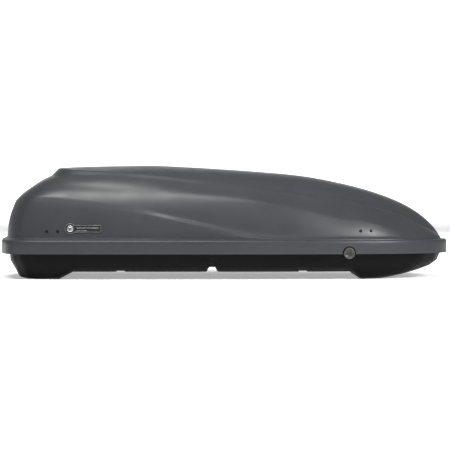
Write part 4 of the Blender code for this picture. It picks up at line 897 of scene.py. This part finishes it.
def make_struts(m):
    """Gas cylinders with rolled ends, and polished rods with flat eyes."""
    for end in ("rear", "front"):
        place = strut_matrix(end)
        _, top = strut_reach(end, f"strut_tube_{end}")
        shape = [
            (0.0001, 0.012), (0.0072, 0.012), (0.0090, 0.0145), (0.0090, top - 0.0022), (0.0074, top),
            (0.0046, top), (0.0046, top - 0.012), (0.0001, top - 0.012),
        ]
        tube = turned(f"strut_cylinder_{end}", shape, 40, m["strut_paint"], closed=False)
        outer, inner = circle((0, 0), 0.0090, 32), circle((0, 0), 0.0044, 32)
        edges = ((outer, -0.003), (outer, 0.003), (inner, 0.003), (inner, -0.003))
        rings = [[(x, y, z) for y, z in line] for line, x in edges]
        eye = loft("eye", rings, m["strut_paint"], closed=True)
        outline = rectangle(-0.0055, 0.0065, 0.0055, 0.014)
        neck = prism("neck", outline, "x", -0.003, 0.003, m["strut_paint"])
        combine(tube, "UNION", neck, eye)
        stand_for(move(tube, place), f"strut_tube_{end}")
        low, high = strut_reach(end, f"strut_rod_{end}")
        pin = high - 0.0105 - 0.0090
        chrome = m["strut_rod_chrome"]
        rod_shape = [
            (0.0001, low), (0.0040, low), (0.0040, pin - 0.022), (0.0058, pin - 0.0215),
            (0.0060, pin - 0.0105), (0.0052, pin - 0.0095), (0.0001, pin - 0.0095),
        ]
        rod = turned(f"strut_piston_{end}", rod_shape, 32, chrome, closed=False)
        upper = (0, pin + 0.0105)
        blade = prism("blade", stadium((0, pin), upper, 0.0090, 17), "x", -0.0025, 0.0025, chrome)
        slot = prism("slot", stadium((0, pin), upper, 0.0044, 17), "x", -0.02, 0.02, chrome)
        outline = rectangle(-0.004, pin - 0.012, 0.004, pin - 0.0060)
        stem = prism("stem", outline, "x", -0.0025, 0.0025, chrome)
        combine(combine(rod, "UNION", stem, blade), "DIFFERENCE", slot)
        stand_for(move(rod, place), f"strut_rod_{end}")


def bolt_path(low, top):
    """(x, z, radius) along a clamp bolt: threaded legs and a plain bend."""
    bend, pitch, thread_low = 0.012, 0.0015, low + 0.030
    leg = []
    turns = int((top - 0.001 - thread_low) / (pitch / 2))
    for i in range(turns + 1):
        z = thread_low + i * pitch / 2
        leg.append((z, BOLT_R if i % 2 else BOLT_R * 0.84))
    leg.append((top, BOLT_R * 0.70))
    path = [(-LEG_X, z, r) for z, r in reversed(leg)]
    path += [(-LEG_X, thread_low - 0.0006, BOLT_R), (-LEG_X, low + bend, BOLT_R)]
    path += [(*p, BOLT_R) for p in circle((-LEG_X + bend, low + bend), bend, 9, 180, 270)[1:]]
    path += [(*p, BOLT_R) for p in circle((LEG_X - bend, low + bend), bend, 9, 270, 360)]
    path += [(LEG_X, thread_low - 0.0006, BOLT_R)]
    return path + [(LEG_X, z, r) for z, r in leg]


def make_clamps(m):
    """Bent clamp bolts with threads, and five-lobed hand nuts."""
    count = 16
    for i in range(1, 5):
        node = f"u_bolt_{i}"
        low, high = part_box(node)
        x, y = (low[0] + high[0]) / 2, (low[1] + high[1]) / 2
        path = bolt_path(low[2] + BOLT_R, high[2])
        rings = []
        for j, (px, pz, radius) in enumerate(path):
            before = Vector(path[j][:2]) - Vector(path[max(j - 1, 0)][:2])
            after = Vector(path[min(j + 1, len(path) - 1)][:2]) - Vector(path[j][:2])
            along = (before.normalized() + after.normalized()).normalized()
            ring = []
            for a, b in circle((0, 0), radius, count):
                ring.append((x + px - along.y * a, y + b, pz + along.x * a))
            rings.append(ring)
        stand_for(loft(node + "_fine", rings, m["zinc_steel"], smooth_angle=60.0), node)
    grip = [
        (0.0044, 0.0), (0.0180, 0.0), (0.0215, 0.0030), (0.0215, 0.0160), (0.0175, 0.0205),
        (0.0085, 0.0205), (0.0080, 0.0190), (0.0044, 0.0190),
    ]
    lobes = lambda angle, r: 1 - 0.16 * (0.5 - 0.5 * math.cos(5 * angle)) * ease(r, 0.010, 0.016)
    for i in range(1, 9):
        node = f"knob_{i}"
        low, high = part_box(node)
        nut = turned(node + "_fine", rounded_profile(grip, 0.0022), 80, m["tray_plastic"], lobes=lobes)
        bolt_low, bolt_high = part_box(f"u_bolt_{(i + 1) // 2}")
        x = (bolt_low[0] + bolt_high[0]) / 2 + (-LEG_X if i % 2 else LEG_X)
        place = (x, (bolt_low[1] + bolt_high[1]) / 2, low[2])
        stand_for(move(nut, Matrix.Translation(place)), node)


def strap_ring(x, y, z, wide, thick, lift):
    """One cross-section of a strap, a flat oval."""
    outline = [(-1, 0), (-0.97, 0.8), (-0.9, 1), (-0.5, 1), (0, 1), (0.5, 1), (0.9, 1), (0.97, 0.8), (1, 0),
               (0.97, -0.8), (0.9, -1), (0.5, -1), (0, -1), (-0.5, -1), (-0.9, -1), (-0.97, -0.8)]
    return [(x + a * wide / 2, y, z + lift + b * thick / 2) for a, b in outline]


def make_straps(m):
    """Webbing straps with sewn ends, and side-release buckles."""
    for i in (1, 2):
        node = f"load_strap_{i}"
        low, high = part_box(node)
        x, floor = (low[0] + high[0]) / 2, low[2]
        rings = []
        steps = 90
        for s in range(steps + 1):
            y = low[1] + (high[1] - low[1]) * s / steps
            over = 1 - ease(abs(y), 0.110, 0.150)
            ripple = 0.0002 * math.sin(y * 95 + i) * over
            sway = 0.0006 * math.sin(y * 21 + 2 * i)
            rings.append(strap_ring(x + sway, y, floor, 0.0245, 0.0015, 0.0009 + 0.0021 * over + ripple))
        strap = loft(node + "_fine", rings, m["strap_webbing"])
        stand_for(strap, node)
        for side in (-1, 1):
            for row in range(4):
                y = side * (0.186 - 0.006 * row)
                thread = stadium((x - 0.009, y), (x + 0.009, y), 0.0005, 5)
                stitch = prism(f"stitch_{i}_{side + 1}_{row}", thread, "z", floor + 0.0015, floor + 0.0021,
                               m["strap_webbing"])
                go_with(stitch, node)
            dome = [(0.0001, 0.0), (0.0060, 0.0), (0.0052, 0.0019), (0.0001, 0.0022)]
            head = turned(f"strap_rivet_{i}_{side + 1}", rounded_profile(dome, 0.0006), 28, m["zinc_steel"],
                          closed=False)
            go_with(move(head, Matrix.Translation((x, side * 0.208, floor + 0.0016))), node)
        make_buckle(i, x, m)


def make_buckle(i, x, m):
    node = f"strap_buckle_{i}"
    low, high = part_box(node)
    y, half, length = (low[1] + high[1]) / 2, (high[0] - low[0]) / 2, high[1] - low[1]
    z0, z1 = low[2], high[2]
    outline = []
    for u, v in ((-1, -0.34), (-0.94, -0.5), (0.94, -0.5), (1, -0.34), (0.86, -0.12), (0.86, 0.12), (1, 0.34),
                 (0.94, 0.5), (-0.94, 0.5), (-1, 0.34), (-0.86, 0.12), (-0.86, -0.12)):
        outline.append((x + u * half, y + v * length))
    body = prism(node + "_fine", outline, "z", z0, z1, m["tray_plastic"])
    passage = rectangle(-0.10, z0 + 0.0013, 0.20, z0 + 0.0047)
    tunnel = prism("tunnel", passage, "x", x - 0.0135, x + 0.0135, m["tray_plastic"])
    opening = stadium((x - 0.006, y + 0.002), (x + 0.006, y + 0.002), 0.0045)
    window = prism("window", opening, "z", z1 - 0.003, z1 + 0.002, m["tray_plastic"])
    add_bevel(combine(body, "DIFFERENCE", tunnel, window), 0.0009)
    stand_for(body, node)


BEVELLED = {
    "hinge": 0.0004, "lid_catch": 0.0006, "lid_rib": 0.0015, "floor_rail": 0.0005, "clamp_plate": 0.0006,
    "bar_guide": 0.0010, "lock_bar": 0.0005, "latch_hook": 0.0005, "lock_cam": 0.0005, "strut_foot": 0.0006,
    "strut_lid": 0.0006,
}


def dress_cad_nodes(m):
    """Gives every CAD node its slot's material, and soft edges to those that stay in view."""
    for name, node in frame["nodes"].items():
        node.data.materials.clear()
        node.data.materials.append(m[SLOTS[name]])
        for start, width in BEVELLED.items():
            if name.startswith(start):
                add_bevel(node, width)


# ---------------------------------------------------------------- studio
VIEW_DISTANCE = 8.0
VIEW_TILT = math.radians(1.0)
VIEW_TARGET = Vector((0.0050, 0.0, 0.2090))
VIEW_WIDTH = 1.845  # what the picture's width covers at the box's middle
SKY, FLOOR_GLOW, PANEL_GLOW = 0.26, 0.38, 0.80
FLOOR_REACH, PANEL_Y, PANEL_HALF, PANEL_TOP = 30.0, 13.0, 4.0, 5.0
WIDE, NARROW = 180, 80  # how many degrees a softbox spreads its light
LIGHTS = [  # name, place, aimed at, size, watts, spread
    ("shoulder_box", (-0.85, -1.50, 2.60), (-0.40, 0.0, 0.25), (2.0, 0.5), 112.0, WIDE),
    ("nose_box", (2.50, -2.75, 1.90), (0.55, 0.0, 0.20), (1.0, 1.0), 150.0, WIDE),
    ("top_box", (0.0, 0.8, 3.6), (0.0, 0.2, 0.0), (3.0, 1.6), 10.0, WIDE),
    ("far_wash", (0.0, 4.5, 3.5), (0.0, 5.0, 0.0), (8.0, 4.0), 200.0, NARROW),
    ("near_wash", (0.0, -5.2, 2.4), (0.0, -5.2, 0.0), (6.0, 2.0), 110.0, NARROW),
]


def add_camera():
    data = bpy.data.cameras.new("camera")
    data.sensor_width = 36.0
    data.lens = 36.0 * VIEW_DISTANCE / VIEW_WIDTH
    data.clip_end = 60.0
    camera = bpy.data.objects.new("camera", data)
    back = Vector((0, -math.cos(VIEW_TILT), math.sin(VIEW_TILT)))
    camera.location = VIEW_TARGET + back * VIEW_DISTANCE
    camera.rotation_euler = (math.radians(90) - VIEW_TILT, 0, 0)
    bpy.context.scene.collection.objects.link(camera)
    bpy.context.scene.camera = camera


def add_softbox(name, place, target, size, watts, spread):
    data = bpy.data.lights.new(name, "AREA")
    data.spread = math.radians(spread)
    data.shape = "RECTANGLE"
    data.size, data.size_y = size
    data.energy = watts
    light = bpy.data.objects.new(name, data)
    light.location = place
    light.rotation_euler = (Vector(target) - Vector(place)).to_track_quat("-Z", "Y").to_euler()
    bpy.context.scene.collection.objects.link(light)


def glowing(name, color, strength):
    """A matte pale surface that also gives off a little light of its own."""
    n = Nodes(name)
    tone = n.mix(n.noise(1.5, 3.0), scaled(color, 0.98), color)
    grain = n.bump(n.noise(300.0, 2.0), 0.1, 0.0001)
    n.set(Base_Color=tone, Roughness=0.90, Specular_IOR_Level=0.1, Normal=grain)
    return n.set(Emission_Color=(1.0, 1.0, 1.0), Emission_Strength=strength)


def add_studio():
    """A wide pale floor, a white panel far behind the box, three softboxes and two lights for the floor."""
    reach = (-FLOOR_REACH, FLOOR_REACH)
    corners = [(x, y, 0.0) for y in reach for x in reach]
    new_object(
        "studio_floor", corners, [[0, 1, 3, 2]], glowing("floor_white", (0.90, 0.90, 0.90), FLOOR_GLOW))
    corners = [(x, PANEL_Y, z) for z in (0.0, PANEL_TOP) for x in (-PANEL_HALF, PANEL_HALF)]
    new_object(
        "studio_panel", corners, [[0, 1, 3, 2]], glowing("panel_white", (0.85, 0.85, 0.85), PANEL_GLOW))
    for light in LIGHTS:
        add_softbox(*light)
    world = bpy.data.worlds.new("studio")
    world.use_nodes = True
    world.node_tree.nodes["Background"].inputs["Color"].default_value = (1.0, 1.0, 1.0, 1.0)
    world.node_tree.nodes["Background"].inputs["Strength"].default_value = SKY
    bpy.context.scene.world = world
    bpy.context.scene.view_settings.view_transform = "Standard"


def main():
    m = make_materials()
    dress_cad_nodes(m)
    lid = make_lid(m["lid_plastic"])
    tree = tree_of(lid)
    stand_for(lid, "lid_shell")
    stand_for(make_tray(m["tray_plastic"]), "base_tray")
    make_badge(tree, m)
    make_rivets(tree, m)
    make_lock(m)
    make_struts(m)
    make_clamps(m)
    make_straps(m)
    add_studio()
    add_camera()


main()
